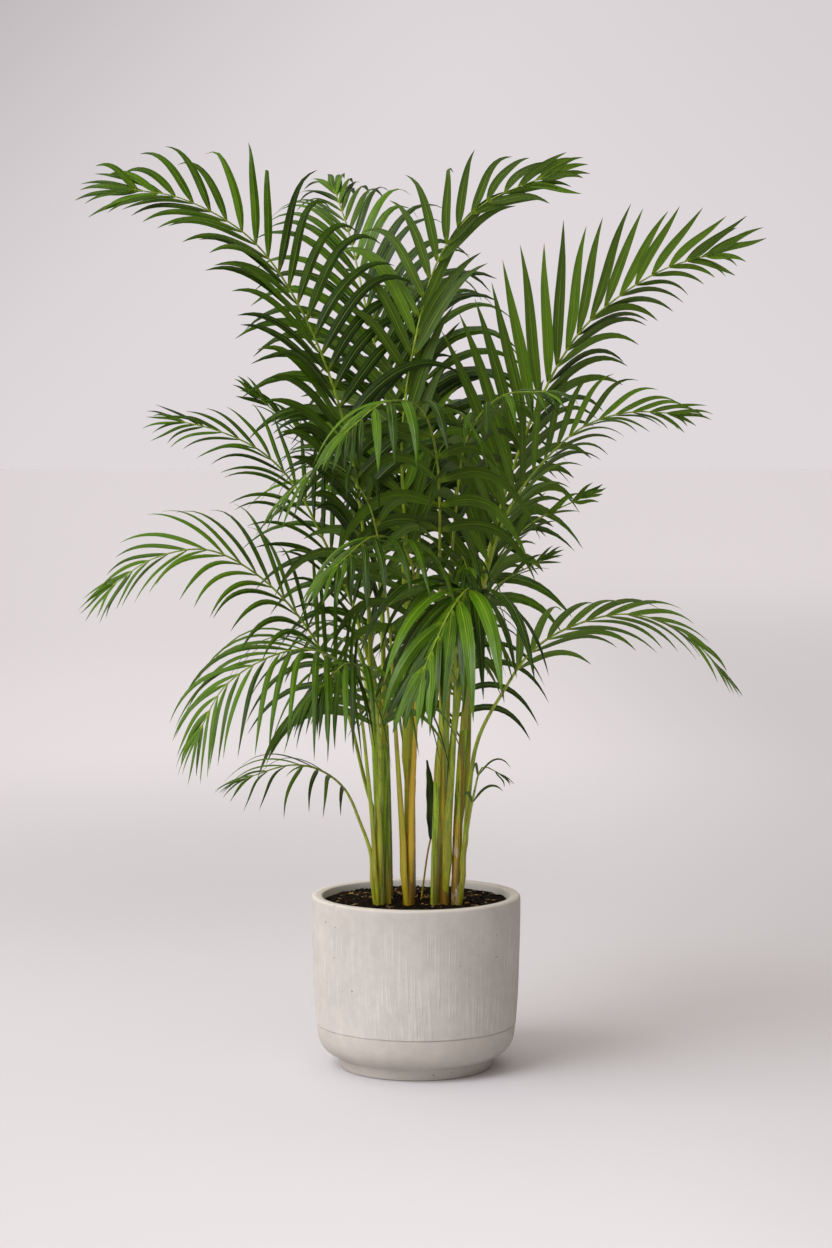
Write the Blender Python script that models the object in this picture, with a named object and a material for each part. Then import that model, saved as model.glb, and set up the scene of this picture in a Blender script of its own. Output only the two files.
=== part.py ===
"""Potted areca palm: a clump of canes rooted in a round cast pot, each cane bearing arching, feather-shaped fronds.

Metres, +Z up. The origin is the centre of the pot's foot, on the surface that it stands on. -Y is the front.
Every frond is one solid: petiole, rachis and leaflets. Leaflets are grown one at a time, and each takes the first
posture that keeps clear of all that stands around it.
"""

import math
import random
from collections import namedtuple

import bmesh
import bpy
from mathutils import Matrix, Vector
from mathutils.bvhtree import BVHTree

# Pot
POT_RADIUS = 0.125
POT_HEIGHT = 0.207
POT_WALL = 0.013
POT_FLOOR = 0.018
POT_TAPER = 0.006  # how much narrower the wall is at the shoulder than at the rim
FOOT_RADIUS = 0.094
FOOT_HEIGHT = 0.010
FOOT_CHAMFER = 0.0015
SHOULDER_HEIGHT = 0.034
SHOULDER_START_DEG = -72
SHOULDER_STEPS = 4
RIM_ROUND = 0.002
POT_SIDES = 40

# Soil
SOIL_RECESS = 0.012  # from the rim down to the soil at the wall
SOIL_DOME = 0.003  # how much higher the soil is at the middle
SOIL_FLAT_SHARE = 0.75  # the flat middle of the soil, as a share of its radius
SOIL_SIDES = 24
ROOTED_DEPTH = 0.040
FIT_GAP = 0.0003

# Canes and fronds
CANE_SIDES = 8
CANE_RINGS = 5
PETIOLE_RADIUS = 0.0033
RACHIS_TIP_RADIUS = 0.0010
PETIOLE_RINGS = 6
HUG_LENGTH = 0.030  # how far a petiole runs along its cane before it leans away
LEAFLET_WIDTH = 0.0140
LEAFLET_THICKNESS = 0.0009
LEAFLET_FOOT = 0.0050  # length of rachis that one leaflet grows from
LEAFLET_STEPS = 8
CURL_POWER = 1.7  # how late along its length a leaflet bends down
FAN_POWER = 1.4  # how late along the blade the leaflets close towards the spine
LONGEST_AT = 0.25  # share of the blade where leaflets are longest
FIRST_LENGTH = 0.85  # the first and last leaflets' lengths, as shares of the longest
LAST_LENGTH = 0.30
CLEARANCE = 0.0008
SPINE_SAMPLES = 14  # points for each span of a frond's spine
NARROWEST_FOR_LENGTH = 0.65  # a leaflet of no length would have this share of the full width
NARROWED_AT_TIP = 0.30  # how much narrower the leaflets are at the blade's tip
CURLED_DEG = 50  # a leaflet that bends more than this has two rings, and otherwise one
STRAIGHT_RINGS = ((4, 1.0),)  # (step along the leaflet, share of its full width)
CURLED_RINGS = ((3, 1.0), (6, 0.72))
JITTER_FAN_DEG = 3
JITTER_RISE_DEG = 4
JITTER_LENGTH = (0.93, 1.05)
JITTER_DROOP = (0.85, 1.15)

Cane = namedtuple("Cane", "name x y lean_x lean_y height radius top_radius")
CANES = [
    Cane("cane_left_front", -0.043, -0.038, -0.006, 0.000, 0.210, 0.0050, 0.0044),
    Cane("cane_left_rear", -0.034, -0.028, -0.004, 0.004, 0.190, 0.0048, 0.0042),
    Cane("cane_centre", -0.008, -0.040, 0.000, 0.002, 0.180, 0.0070, 0.0052),
    Cane("cane_slim", 0.021, -0.043, 0.004, -0.004, 0.150, 0.0042, 0.0038),
    Cane("cane_right", 0.033, -0.033, -0.002, 0.002, 0.200, 0.0066, 0.0050),
    Cane("cane_right_outer", 0.048, -0.036, 0.008, 0.002, 0.210, 0.0064, 0.0046),
    Cane("cane_back_left", -0.033, 0.018, -0.004, 0.008, 0.210, 0.0058, 0.0046),
    Cane("cane_back_centre", -0.006, 0.032, -0.002, 0.008, 0.230, 0.0062, 0.0048),
    Cane("cane_back_right", 0.030, 0.018, 0.006, 0.006, 0.220, 0.0060, 0.0048),
]

# A frond parts from its cane at height `parts`, or grows from the cane's top where that is None. Its spine runs
# through the points `via`, which are (x, y, height above the soil). `roll` turns it about its spine. `blade` is the
# share of the spine where leaflets begin, `pairs` how many pairs there are, and `broad` widens them all. The rest
# hold a value for each side: `reach` is the longest leaflet, `fan` the angles from the spine at the blade's start
# and end, `rise` the angle above the blade's plane, and `droop` how much a leaflet bends down.
Frond = namedtuple("Frond", "name cane parts via roll blade pairs reach broad fan rise droop")
FRONDS = [
    Frond("frond_top_left", "cane_left_front", None,
          [(-0.063, -0.045, 0.46), (-0.088, -0.055, 0.59), (-0.133, -0.07, 0.705), (-0.19, -0.10, 0.785),
           (-0.265, -0.12, 0.828), (-0.32, -0.13, 0.838)],
          -60, 0.28, 26, (0.18, 0.20), 1.1, ((58, 40), (46, 16)), (20, 22), (1.0, 0.7)),
    Frond("frond_mid_left", "cane_left_rear", 0.060,
          [(-0.060, -0.028, 0.15), (-0.080, -0.05, 0.235), (-0.10, -0.075, 0.29), (-0.135, -0.09, 0.35),
           (-0.185, -0.11, 0.402), (-0.24, -0.13, 0.430), (-0.30, -0.145, 0.42), (-0.345, -0.15, 0.39)],
          -35, 0.36, 17, (0.145, 0.15), 0.95, ((44, 16), (45, 16)), (15, 10), (0.9, 1.2)),
    Frond("frond_low_left", "cane_left_front", 0.035,
          [(-0.066, -0.044, 0.105), (-0.083, -0.060, 0.145), (-0.110, -0.082, 0.170), (-0.145, -0.11, 0.18),
           (-0.195, -0.135, 0.168)],
          -15, 0.46, 7, (0.11, 0.11), 0.75, ((50, 20), (50, 20)), (5, 5), (1.3, 1.6)),
    Frond("frond_low_arching", "cane_left_front", 0.050,
          [(-0.056, -0.056, 0.16), (-0.068, -0.08, 0.255), (-0.088, -0.115, 0.30), (-0.125, -0.155, 0.318),
           (-0.17, -0.19, 0.31), (-0.215, -0.215, 0.28), (-0.24, -0.23, 0.235)],
          -10, 0.44, 16, (0.165, 0.185), 0.95, ((52, 20), (52, 20)), (25, 0), (2.0, 2.4)),
    Frond("frond_upper_mid_left", "cane_left_rear", None,
          [(-0.076, 0.0, 0.36), (-0.107, 0.0, 0.43), (-0.144, 0.0, 0.50), (-0.183, -0.01, 0.54),
           (-0.235, -0.02, 0.565), (-0.275, -0.03, 0.575)],
          -60, 0.26, 17, (0.125, 0.14), 0.85, ((36, 14), (40, 16)), (10, 18), (0.6, 0.9)),
    Frond("frond_inner_left", "cane_left_front", 0.080,
          [(-0.042, -0.066, 0.19), (-0.052, -0.10, 0.27), (-0.076, -0.15, 0.302), (-0.106, -0.20, 0.28)],
          0, 0.44, 12, (0.20, 0.20), 1.0, ((46, 18), (46, 18)), (0, 0), (2.8, 2.8)),
    Frond("frond_top_middle", "cane_centre", None,
          [(-0.012, -0.03, 0.42), (-0.016, -0.02, 0.56), (-0.001, -0.01, 0.67), (0.029, 0.0, 0.77),
           (0.075, -0.01, 0.826), (0.15, -0.03, 0.86)],
          -75, 0.32, 23, (0.158, 0.16), 1.1, ((50, 26), (22, 8)), (16, 5), (0.9, 0.6)),
    Frond("frond_front_middle", "cane_centre", 0.075,
          [(0.002, -0.085, 0.34), (-0.009, -0.15, 0.425), (-0.045, -0.225, 0.45), (-0.088, -0.30, 0.42)],
          0, 0.44, 12, (0.175, 0.175), 1.1, ((60, 25), (60, 25)), (0, 0), (2.4, 2.4)),
    Frond("frond_core_left", "cane_centre", 0.045,
          [(-0.024, -0.06, 0.22), (-0.034, -0.09, 0.37), (-0.058, -0.12, 0.49), (-0.10, -0.15, 0.53),
           (-0.14, -0.17, 0.50)],
          0, 0.45, 11, (0.17, 0.17), 1.1, ((55, 20), (55, 20)), (0, 10), (2.2, 1.8)),
    Frond("frond_front_low", "cane_slim", None,
          [(0.040, -0.08, 0.29), (0.062, -0.14, 0.365), (0.060, -0.20, 0.39), (0.038, -0.27, 0.37),
           (0.008, -0.325, 0.31)],
          0, 0.50, 12, (0.215, 0.20), 1.35, ((36, 14), (26, 12)), (0, 0), (2.4, 2.4)),
    Frond("frond_front_upper", "cane_right", 0.120,
          [(0.028, -0.075, 0.40), (0.023, -0.12, 0.54), (0.004, -0.17, 0.592), (-0.034, -0.23, 0.598),
           (-0.077, -0.30, 0.565)],
          0, 0.50, 12, (0.175, 0.175), 1.1, ((60, 25), (60, 25)), (5, 5), (2.6, 2.6)),
    Frond("frond_right_inner", "cane_right", None,
          [(0.045, -0.06, 0.46), (0.060, -0.10, 0.56), (0.095, -0.15, 0.604), (0.145, -0.21, 0.61)],
          15, 0.48, 9, (0.135, 0.135), 1.1, ((45, 20), (45, 20)), (5, 10), (1.8, 1.8)),
    Frond("frond_right_arching", "cane_right_outer", 0.080,
          [(0.072, -0.045, 0.20), (0.102, -0.055, 0.26), (0.135, -0.065, 0.308), (0.18, -0.08, 0.338),
           (0.243, -0.10, 0.354), (0.305, -0.12, 0.336), (0.350, -0.13, 0.292)],
          -25, 0.44, 12, (0.115, 0.115), 1.0, ((34, 10), (34, 12)), (16, 0), (0.9, 1.1)),
    Frond("frond_right_sprig", "cane_right_outer", 0.040,
          [(0.068, -0.055, 0.14), (0.078, -0.065, 0.172), (0.098, -0.08, 0.166)],
          0, 0.55, 3, (0.06, 0.06), 0.7, ((34, 20), (34, 20)), (0, 0), (1.6, 1.6)),
    Frond("frond_right_low", "cane_right_outer", 0.150,
          [(0.068, -0.015, 0.30), (0.09, -0.02, 0.375), (0.15, -0.05, 0.415)],
          -50, 0.45, 5, (0.085, 0.07), 0.7, ((28, 14), (20, 10)), (10, 40), (0.6, 0.6)),
    Frond("frond_right_middle", "cane_right_outer", None,
          [(0.080, -0.045, 0.385), (0.107, -0.05, 0.47), (0.152, -0.06, 0.533), (0.197, -0.07, 0.571),
           (0.247, -0.08, 0.586), (0.295, -0.08, 0.585)],
          -60, 0.32, 18, (0.14, 0.10), 0.9, ((44, 20), (28, 12)), (8, 34), (0.8, 1.1)),
    Frond("frond_core_right", "cane_right", 0.060,
          [(0.044, -0.058, 0.20), (0.047, -0.08, 0.34), (0.052, -0.12, 0.42), (0.058, -0.17, 0.41)],
          0, 0.48, 9, (0.16, 0.13), 1.1, ((36, 16), (22, 12)), (0, 0), (3.0, 3.0)),
    Frond("frond_top_right", "cane_back_right", None,
          [(0.074, 0.02, 0.37), (0.106, 0.02, 0.49), (0.144, 0.0, 0.595), (0.19, -0.02, 0.677),
           (0.236, -0.03, 0.72), (0.289, -0.05, 0.752), (0.34, -0.065, 0.768)],
          -62, 0.26, 23, (0.20, 0.13), 1.1, ((42, 24), (34, 16)), (6, 36), (0.25, 1.2)),
    Frond("frond_right_young", "cane_back_right", 0.150,
          [(0.068, 0.035, 0.335), (0.097, 0.04, 0.41), (0.136, 0.03, 0.452), (0.20, 0.01, 0.486)],
          -60, 0.40, 6, (0.085, 0.07), 0.75, ((24, 12), (18, 10)), (5, 40), (0.5, 0.5)),
    Frond("frond_upper_left_young", "cane_back_left", None,
          [(-0.045, 0.05, 0.41), (-0.065, 0.06, 0.47), (-0.097, 0.06, 0.515), (-0.135, 0.055, 0.555),
           (-0.19, 0.04, 0.605)],
          -50, 0.30, 9, (0.10, 0.10), 0.8, ((32, 14), (28, 12)), (20, 35), (0.6, 0.6)),
    Frond("frond_crown", "cane_back_centre", None,
          [(-0.017, 0.05, 0.43), (-0.031, 0.07, 0.575), (-0.058, 0.10, 0.70), (-0.081, 0.15, 0.80),
           (-0.101, 0.23, 0.86)],
          -20, 0.32, 22, (0.21, 0.21), 1.2, ((46, 24), (42, 24)), (30, 30), (1.2, 1.2)),
    Frond("frond_back_left", "cane_back_left", 0.110,
          [(-0.045, 0.09, 0.39), (-0.062, 0.17, 0.50), (-0.085, 0.26, 0.55), (-0.10, 0.345, 0.51)],
          0, 0.34, 14, (0.18, 0.18), 1.0, ((58, 22), (58, 22)), (15, 15), (1.6, 1.6)),
    Frond("frond_back_low_left", "cane_back_left", 0.050,
          [(-0.058, 0.062, 0.24), (-0.074, 0.12, 0.31), (-0.084, 0.19, 0.325), (-0.089, 0.27, 0.265)],
          0, 0.36, 12, (0.18, 0.18), 1.0, ((58, 22), (58, 22)), (10, 10), (2.2, 2.2)),
    Frond("frond_back_top", "cane_back_centre", 0.140,
          [(0.006, 0.08, 0.50), (0.010, 0.16, 0.66), (0.005, 0.24, 0.745), (-0.005, 0.34, 0.745)],
          5, 0.36, 16, (0.19, 0.19), 1.05, ((58, 24), (58, 24)), (20, 20), (1.5, 1.5)),
    Frond("frond_back_right", "cane_back_right", 0.100,
          [(0.045, 0.085, 0.40), (0.052, 0.17, 0.53), (0.065, 0.27, 0.60), (0.082, 0.36, 0.55)],
          0, 0.34, 14, (0.18, 0.18), 1.0, ((58, 22), (58, 22)), (15, 15), (1.6, 1.6)),
    Frond("frond_back_low_right", "cane_back_right", 0.045,
          [(0.048, 0.075, 0.24), (0.058, 0.14, 0.32), (0.066, 0.22, 0.34), (0.072, 0.30, 0.28)],
          0, 0.36, 12, (0.14, 0.18), 1.0, ((58, 22), (58, 22)), (10, 10), (2.2, 2.2)),
]

# How a leaflet may give way to a neighbour: shorter last, and turned as little as will do.
SHORTER = (1.0, 0.85, 0.7, 0.5, 0.35)
RISE_SHIFTS_DEG = (0, 6, -6, 12, -12, 18, -18, 26, -26, 34, -34)
FAN_SHIFTS_DEG = (0, 7, -7)
POSTURES = [(short, rise, fan) for short in SHORTER for rise in RISE_SHIFTS_DEG for fan in FAN_SHIFTS_DEG]

# A young leaf that has come up on its own and is still folded: (x, y, height above the soil, half width)
SPEAR = [(0.006, -0.008, 0.0, 0.0010), (0.014, -0.009, 0.060, 0.0009), (0.019, -0.010, 0.085, 0.0010),
         (0.020, -0.010, 0.112, 0.0060), (0.017, -0.010, 0.140, 0.0050), (0.012, -0.010, 0.178, 0.0006)]
SPEAR_FOLD = 0.45  # its thickness as a share of its width

SOIL_TOP = POT_HEIGHT - SOIL_RECESS


# ---- materials ----


def material(name, colour, roughness):
    """A Principled finish with no metal in it."""
    made = bpy.data.materials.new(name)
    made.use_nodes = True
    shader = made.node_tree.nodes["Principled BSDF"]
    shader.inputs["Base Color"].default_value = (*colour, 1.0)
    shader.inputs["Roughness"].default_value = roughness
    shader.inputs["Metallic"].default_value = 0.0
    return made


def add_object(name, bm, finish):
    """Puts a finished bmesh in the scene as one named, smooth-shaded object."""
    bmesh.ops.recalc_face_normals(bm, faces=bm.faces)
    mesh = bpy.data.meshes.new(name)
    bm.to_mesh(mesh)
    bm.free()
    mesh.shade_smooth()
    mesh.set_sharp_from_angle(angle=math.radians(40))
    mesh.materials.append(finish)
    made = bpy.data.objects.new(name, mesh)
    bpy.context.scene.collection.objects.link(made)
    return made


# ---- pot and soil ----


def turned(profile, sides):
    """A bmesh solid of revolution about Z. The profile runs from the axis to the axis, as (radius, height)."""
    bm = bmesh.new()
    points = [bm.verts.new((radius, 0, height)) for radius, height in profile]
    edges = [bm.edges.new(pair) for pair in zip(points, points[1:])]
    bmesh.ops.spin(
        bm, geom=points + edges, axis=(0, 0, 1), cent=(0, 0, 0), angle=math.tau, steps=sides, use_merge=True)
    bmesh.ops.remove_doubles(bm, verts=bm.verts, dist=1e-6)
    return bm


def arc(centre, radii, start_deg, end_deg, steps):
    """Points on an elliptical arc in the profile's plane."""
    angles = [math.radians(start_deg + (end_deg - start_deg) * k / steps) for k in range(steps + 1)]
    return [(centre[0] + radii[0] * math.cos(a), centre[1] + radii[1] * math.sin(a)) for a in angles]


def inner_radius(height):
    """Radius of the pot's inside wall, which keeps the taper of the outside."""
    share = (POT_HEIGHT - height) / (POT_HEIGHT - SHOULDER_HEIGHT)
    return POT_RADIUS - POT_WALL - POT_TAPER * share


def build_pot(finish):
    """The pot: a slightly tapered wall, a round shoulder and a short foot, open at the top."""
    shoulder_radius = POT_RADIUS - POT_TAPER
    lip_inner = inner_radius(POT_HEIGHT)
    profile = [(0, 0), (FOOT_RADIUS - FOOT_CHAMFER, 0), (FOOT_RADIUS, FOOT_CHAMFER), (FOOT_RADIUS, FOOT_HEIGHT)]
    profile += arc(
        (FOOT_RADIUS, SHOULDER_HEIGHT),
        (shoulder_radius - FOOT_RADIUS, SHOULDER_HEIGHT - FOOT_HEIGHT), SHOULDER_START_DEG, 0, SHOULDER_STEPS)
    profile += [(POT_RADIUS, POT_HEIGHT - RIM_ROUND), (POT_RADIUS - RIM_ROUND, POT_HEIGHT)]
    profile += [(lip_inner + RIM_ROUND, POT_HEIGHT), (lip_inner, POT_HEIGHT - RIM_ROUND)]
    profile += [(inner_radius(POT_FLOOR), POT_FLOOR), (0, POT_FLOOR)]
    return add_object("pot", turned(profile, POT_SIDES), finish)


def build_soil(finish):
    """The soil: it fills the pot to its recess, a little domed, with a socket for each cane."""
    bottom = POT_FLOOR + FIT_GAP
    profile = [(0, bottom), (inner_radius(bottom) - 2 * FIT_GAP, bottom)]
    profile += [(inner_radius(SOIL_TOP) - 2 * FIT_GAP, SOIL_TOP)]
    profile += [(SOIL_FLAT_SHARE * inner_radius(SOIL_TOP), SOIL_TOP + SOIL_DOME), (0, SOIL_TOP + SOIL_DOME)]
    soil = add_object("soil", turned(profile, SOIL_SIDES), finish)
    for cane in CANES:
        cut_socket(soil, cane)
    return soil


def cut_socket(soil, cane):
    """A round socket in the soil that the cane's rooted end stands in, with the fit's gap all round."""
    depth = ROOTED_DEPTH + FIT_GAP
    bm = bmesh.new()
    bmesh.ops.create_cone(
        bm, cap_ends=True, segments=CANE_SIDES, depth=2 * depth,
        radius1=cane.radius + FIT_GAP, radius2=cane.radius + FIT_GAP)
    bmesh.ops.rotate(bm, verts=bm.verts, matrix=Matrix.Rotation(math.pi / CANE_SIDES, 3, "Z"))
    bmesh.ops.translate(bm, verts=bm.verts, vec=(cane.x, cane.y, SOIL_TOP))
    cutter = add_object(f"socket_cutter_{cane.name}", bm, soil.data.materials[0])
    cutter.hide_render = True
    cutter.display_type = "WIRE"
    cut = soil.modifiers.new(f"socket {cane.name}", "BOOLEAN")
    cut.operation = "DIFFERENCE"
    cut.object = cutter


# ---- spines ----


def span_point(four, knots, t):
    """A point on the Catmull-Rom span between the two middle points of four, by Barry and Goldman's steps."""
    first = [four[i].lerp(four[i + 1], (t - knots[i]) / (knots[i + 1] - knots[i])) for i in range(3)]
    second = [first[i].lerp(first[i + 1], (t - knots[i]) / (knots[i + 2] - knots[i])) for i in range(2)]
    return second[0].lerp(second[1], (t - knots[1]) / (knots[2] - knots[1]))


def smooth_line(points):
    """A smooth polyline through the points."""
    points = [2 * points[0] - points[1], *points, 2 * points[-1] - points[-2]]
    line = []
    for i in range(len(points) - 3):
        four = points[i:i + 4]
        knots = [0.0]
        for a, b in zip(four, four[1:]):
            knots.append(knots[-1] + math.sqrt((b - a).length))
        steps = [knots[1] + (knots[2] - knots[1]) * k / SPINE_SAMPLES for k in range(SPINE_SAMPLES)]
        line += [span_point(four, knots, t) for t in steps]
    return line + [points[-2]]


class Spine:
    """A smooth line with a frame at each share of its length: along, up (the upper side of the blade) and side."""

    def __init__(self, points, roll_deg):
        self.line = smooth_line(points)
        self.roll = math.radians(roll_deg)
        run = points[-1] - points[len(points) // 2]
        self.outward = Vector((run.x, run.y, 0)).normalized()
        self.at = [0.0]
        for a, b in zip(self.line, self.line[1:]):
            self.at.append(self.at[-1] + (b - a).length)
        self.length = self.at[-1]

    def index(self, share):
        """The line's span that holds this share of its length, and how far along the span it is."""
        want = min(max(share, 0.0), 1.0) * self.length
        i = next((k for k in range(len(self.at) - 2) if self.at[k + 1] >= want), len(self.at) - 2)
        return i, (want - self.at[i]) / (self.at[i + 1] - self.at[i])

    def point(self, share):
        i, part = self.index(share)
        return self.line[i].lerp(self.line[i + 1], part)

    def frame(self, share):
        """(along, up, side) unit vectors."""
        i, part = self.index(share)
        here = self.line[i + 1] - self.line[i]
        after = self.line[min(i + 2, len(self.line) - 1)] - self.line[min(i + 1, len(self.line) - 2)]
        along = here.normalized().lerp(after.normalized(), part).normalized()
        up = Vector((0, 0, along.dot(self.outward))) - self.outward * along.z
        up = (up - along * up.dot(along)).normalized()
        up = Matrix.Rotation(self.roll, 3, along) @ up
        return along, up, along.cross(up)


# ---- canes ----


def cane_axis(cane, height):
    """The point on the cane's axis at a height above the soil. It stands upright in the soil, then leans."""
    share = max(height, 0.0) / cane.height
    lean = share * share
    return Vector((cane.x + cane.lean_x * lean, cane.y + cane.lean_y * lean, SOIL_TOP + height))


def cane_radius(cane, height):
    share = max(height, 0.0) / cane.height
    return cane.radius + (cane.top_radius - cane.radius) * share


def cane_rings(cane):
    """Each ring of the cane's tube, lowest first, as a list of points."""
    heights = [-ROOTED_DEPTH] + [cane.height * k / CANE_RINGS for k in range(CANE_RINGS + 1)]
    rings = []
    for height in heights:
        centre, radius = cane_axis(cane, height), cane_radius(cane, height)
        turns = [math.tau * (k + 0.5) / CANE_SIDES for k in range(CANE_SIDES)]
        rings.append([centre + radius * Vector((math.cos(a), math.sin(a), 0)) for a in turns])
    return rings


def sweep(bm, rings):
    """A closed tube through the rings. Returns, for each step, its side faces in the ring's corner order."""
    sides = len(rings[0])
    made = bmesh.ops.create_circle(bm, cap_ends=True, segments=sides, radius=1.0)
    end = made["verts"][0].link_faces[0]
    place(end, rings[0])
    steps = []
    for ring in rings[1:]:
        end = extrude(bm, end)
        place(end, ring)
        steps.append([loop.link_loop_radial_next.face for loop in end.loops])
    bmesh.ops.holes_fill(bm, edges=bm.edges, sides=sides)
    return steps


def extrude(bm, face):
    """Extrudes one face and returns its new end, whose corners keep their order."""
    return bmesh.ops.extrude_discrete_faces(bm, faces=[face])["faces"][0]


def place(face, corners):
    for vert, corner in zip(face.verts, corners):
        vert.co = corner


def build_cane(cane, finish):
    """One cane, from its rooted end to its top."""
    bm = bmesh.new()
    sweep(bm, cane_rings(cane))
    return add_object(cane.name, bm, finish)


def build_spear(finish):
    """The folded young leaf: a thin stalk that widens into a keeled blade."""
    rings = []
    for x, y, height, half in SPEAR:
        centre = Vector((x, y, SOIL_TOP + SOIL_DOME + FIT_GAP + height))
        deep = max(half * SPEAR_FOLD, LEAFLET_THICKNESS)
        corners = ((half, 0), (0, deep), (-half, 0), (0, -deep))
        rings.append([centre + Vector((across, back, 0)) for across, back in corners])
    bm = bmesh.new()
    sweep(bm, rings)
    return add_object("spear_leaf", bm, finish)


# ---- fronds ----


def spine_of(frond):
    """The frond's spine: it starts at its cane, hugs it for a little, and then follows its own points."""
    cane = next(c for c in CANES if c.name == frond.cane)
    first = Vector((frond.via[0][0], frond.via[0][1], 0))
    if frond.parts is None:
        start = cane_axis(cane, cane.height) + Vector((0, 0, 2 * FIT_GAP))
        leave = cane_axis(cane, cane.height) - cane_axis(cane, cane.height - HUG_LENGTH)
        points = [start, start + leave]
    else:
        away = first - Vector((cane.x, cane.y, 0))
        away = away.normalized() * (cane_radius(cane, frond.parts) + PETIOLE_RADIUS + 2 * FIT_GAP)
        step = away.normalized() * CLEARANCE
        points = [cane_axis(cane, frond.parts) + away, cane_axis(cane, frond.parts + HUG_LENGTH) + away + step]
    points += [Vector((x, y, SOIL_TOP + z)) for x, y, z in frond.via]
    return Spine(points, frond.roll)


def rachis_radius(share):
    return PETIOLE_RADIUS + (RACHIS_TIP_RADIUS - PETIOLE_RADIUS) * share


def rachis_ring(spine, share):
    """The rachis's three corners: one side, the keel and the other side. Its upper face is flat."""
    radius = rachis_radius(share)
    centre = spine.point(share)
    _, up, side = spine.frame(share)
    turns = [math.radians(turn) for turn in (30, -90, -210)]
    return [centre + radius * (side * math.cos(turn) + up * math.sin(turn)) for turn in turns]


def pair_shares(frond, spine):
    """The share of the spine at the middle of each pair of leaflets."""
    last = 1 - LEAFLET_FOOT / spine.length
    return [frond.blade + (last - frond.blade) * k / (frond.pairs - 1) for k in range(frond.pairs)]


def rachis_rings(frond, spine):
    """The rings of the rachis, with the step that each pair of leaflets grows from."""
    half = 0.5 * LEAFLET_FOOT / spine.length
    shares = [(frond.blade - 2 * half) * k / PETIOLE_RINGS for k in range(PETIOLE_RINGS)]
    bearing = []
    for middle in pair_shares(frond, spine):
        bearing.append(len(shares))
        shares += [middle - half, middle + half]
    return [rachis_ring(spine, s) for s in shares], bearing


def leaflet_length(reach, along):
    """Length by the share along the blade: it swells to the longest, then falls away to the blade's tip."""
    if along < LONGEST_AT:
        return reach * (FIRST_LENGTH + (1 - FIRST_LENGTH) * math.sin(0.5 * math.pi * along / LONGEST_AT))
    past = (along - LONGEST_AT) / (1 - LONGEST_AT)
    return reach * (1 - (1 - LAST_LENGTH) * past ** 1.5)


def leaflet_path(root, heading, across, length, droop):
    """The leaflet's midrib, and the direction across it, at each step from its root to its tip."""
    path, widths = [root], [across]
    for step in range(1, LEAFLET_STEPS + 1):
        pull = droop * (step / LEAFLET_STEPS) ** CURL_POWER
        going = (heading + Vector((0, 0, -pull))).normalized()
        path.append(path[-1] + going * length / LEAFLET_STEPS)
        turned_across = widths[-1] - going * widths[-1].dot(going)
        widths.append(turned_across.normalized())
    return path, widths


def leaflet_rings(frond, spine, share, side_sign, foot, posture):
    """A leaflet as its foot on the rachis, its middle rings and its tip, in one of its postures."""
    shorter, rise_shift, fan_shift = posture
    along_blade = (share - frond.blade) / (1 - frond.blade)
    pick = 0 if side_sign > 0 else 1
    chance = random.Random(f"{frond.name} {side_sign} {round(along_blade * frond.pairs * 10)}")
    fan_first, fan_last = frond.fan[pick]
    fan = fan_first + (fan_last - fan_first) * along_blade ** FAN_POWER
    fan = math.radians(fan + fan_shift + chance.uniform(-JITTER_FAN_DEG, JITTER_FAN_DEG))
    rise = math.radians(frond.rise[pick] + rise_shift + chance.uniform(-JITTER_RISE_DEG, JITTER_RISE_DEG))
    length = leaflet_length(frond.reach[pick], along_blade) * shorter * chance.uniform(*JITTER_LENGTH)
    droop = frond.droop[pick] * chance.uniform(*JITTER_DROOP)

    along, up, side = spine.frame(share)
    outward = side * side_sign * math.cos(rise) + up * math.sin(rise)
    heading = along * math.cos(fan) + outward * math.sin(fan)
    across = (along - heading * along.dot(heading)).normalized()
    root = sum(foot, Vector()) / len(foot)
    path, widths = leaflet_path(root, heading, across, length, droop)

    long_share = NARROWEST_FOR_LENGTH + (1 - NARROWEST_FOR_LENGTH) * length / frond.reach[pick]
    broad = LEAFLET_WIDTH * frond.broad * long_share * (1 - NARROWED_AT_TIP * along_blade)
    curled = (path[1] - path[0]).angle(path[-1] - path[-2]) > math.radians(CURLED_DEG)
    rings = []
    for index, share_of_width in CURLED_RINGS if curled else STRAIGHT_RINGS:
        direction = (path[index + 1] - path[index - 1]).normalized()
        face = direction.cross(widths[index]) * side_sign
        rings.append((path[index], widths[index] * broad * share_of_width / 2, face * LEAFLET_THICKNESS / 2))
    return rings, path[-1]


def ring_corners(ring, grown=0.0):
    """A leaflet ring's corners: near top, near bottom, far bottom, far top."""
    centre, across, face = ring
    across = across + across.normalized() * grown
    face = face + face.normalized() * grown
    return [centre - across + face, centre - across - face, centre + across - face, centre + across + face]


def leaflet_tree(foot, rings, tip, grown):
    """A search tree of the leaflet's faces. With no foot it starts at the first ring."""
    loops = ([foot] if foot else []) + [ring_corners(r, grown) for r in rings]
    points = [p for loop in loops for p in loop] + [tip]
    faces = []
    for k in range(len(loops) - 1):
        for c in range(4):
            d = (c + 1) % 4
            faces.append((4 * k + c, 4 * k + d, 4 * k + 4 + d, 4 * k + 4 + c))
    last = 4 * (len(loops) - 1)
    faces += [(last + c, last + (c + 1) % 4, len(points) - 1) for c in range(4)]
    return BVHTree.FromPolygons(points, faces)


def grow(bm, face, foot, rings, tip):
    """Extrudes a leaflet from its face on the rachis and draws its end to a point."""
    order = [min(range(4), key=lambda k: (foot[k] - vert.co).length) for vert in face.verts]
    for ring in rings:
        corners = ring_corners(ring)
        face = extrude(bm, face)
        place(face, [corners[k] for k in order])
    face = extrude(bm, face)
    bmesh.ops.pointmerge(bm, verts=list(face.verts), merge_co=tip)


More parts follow.
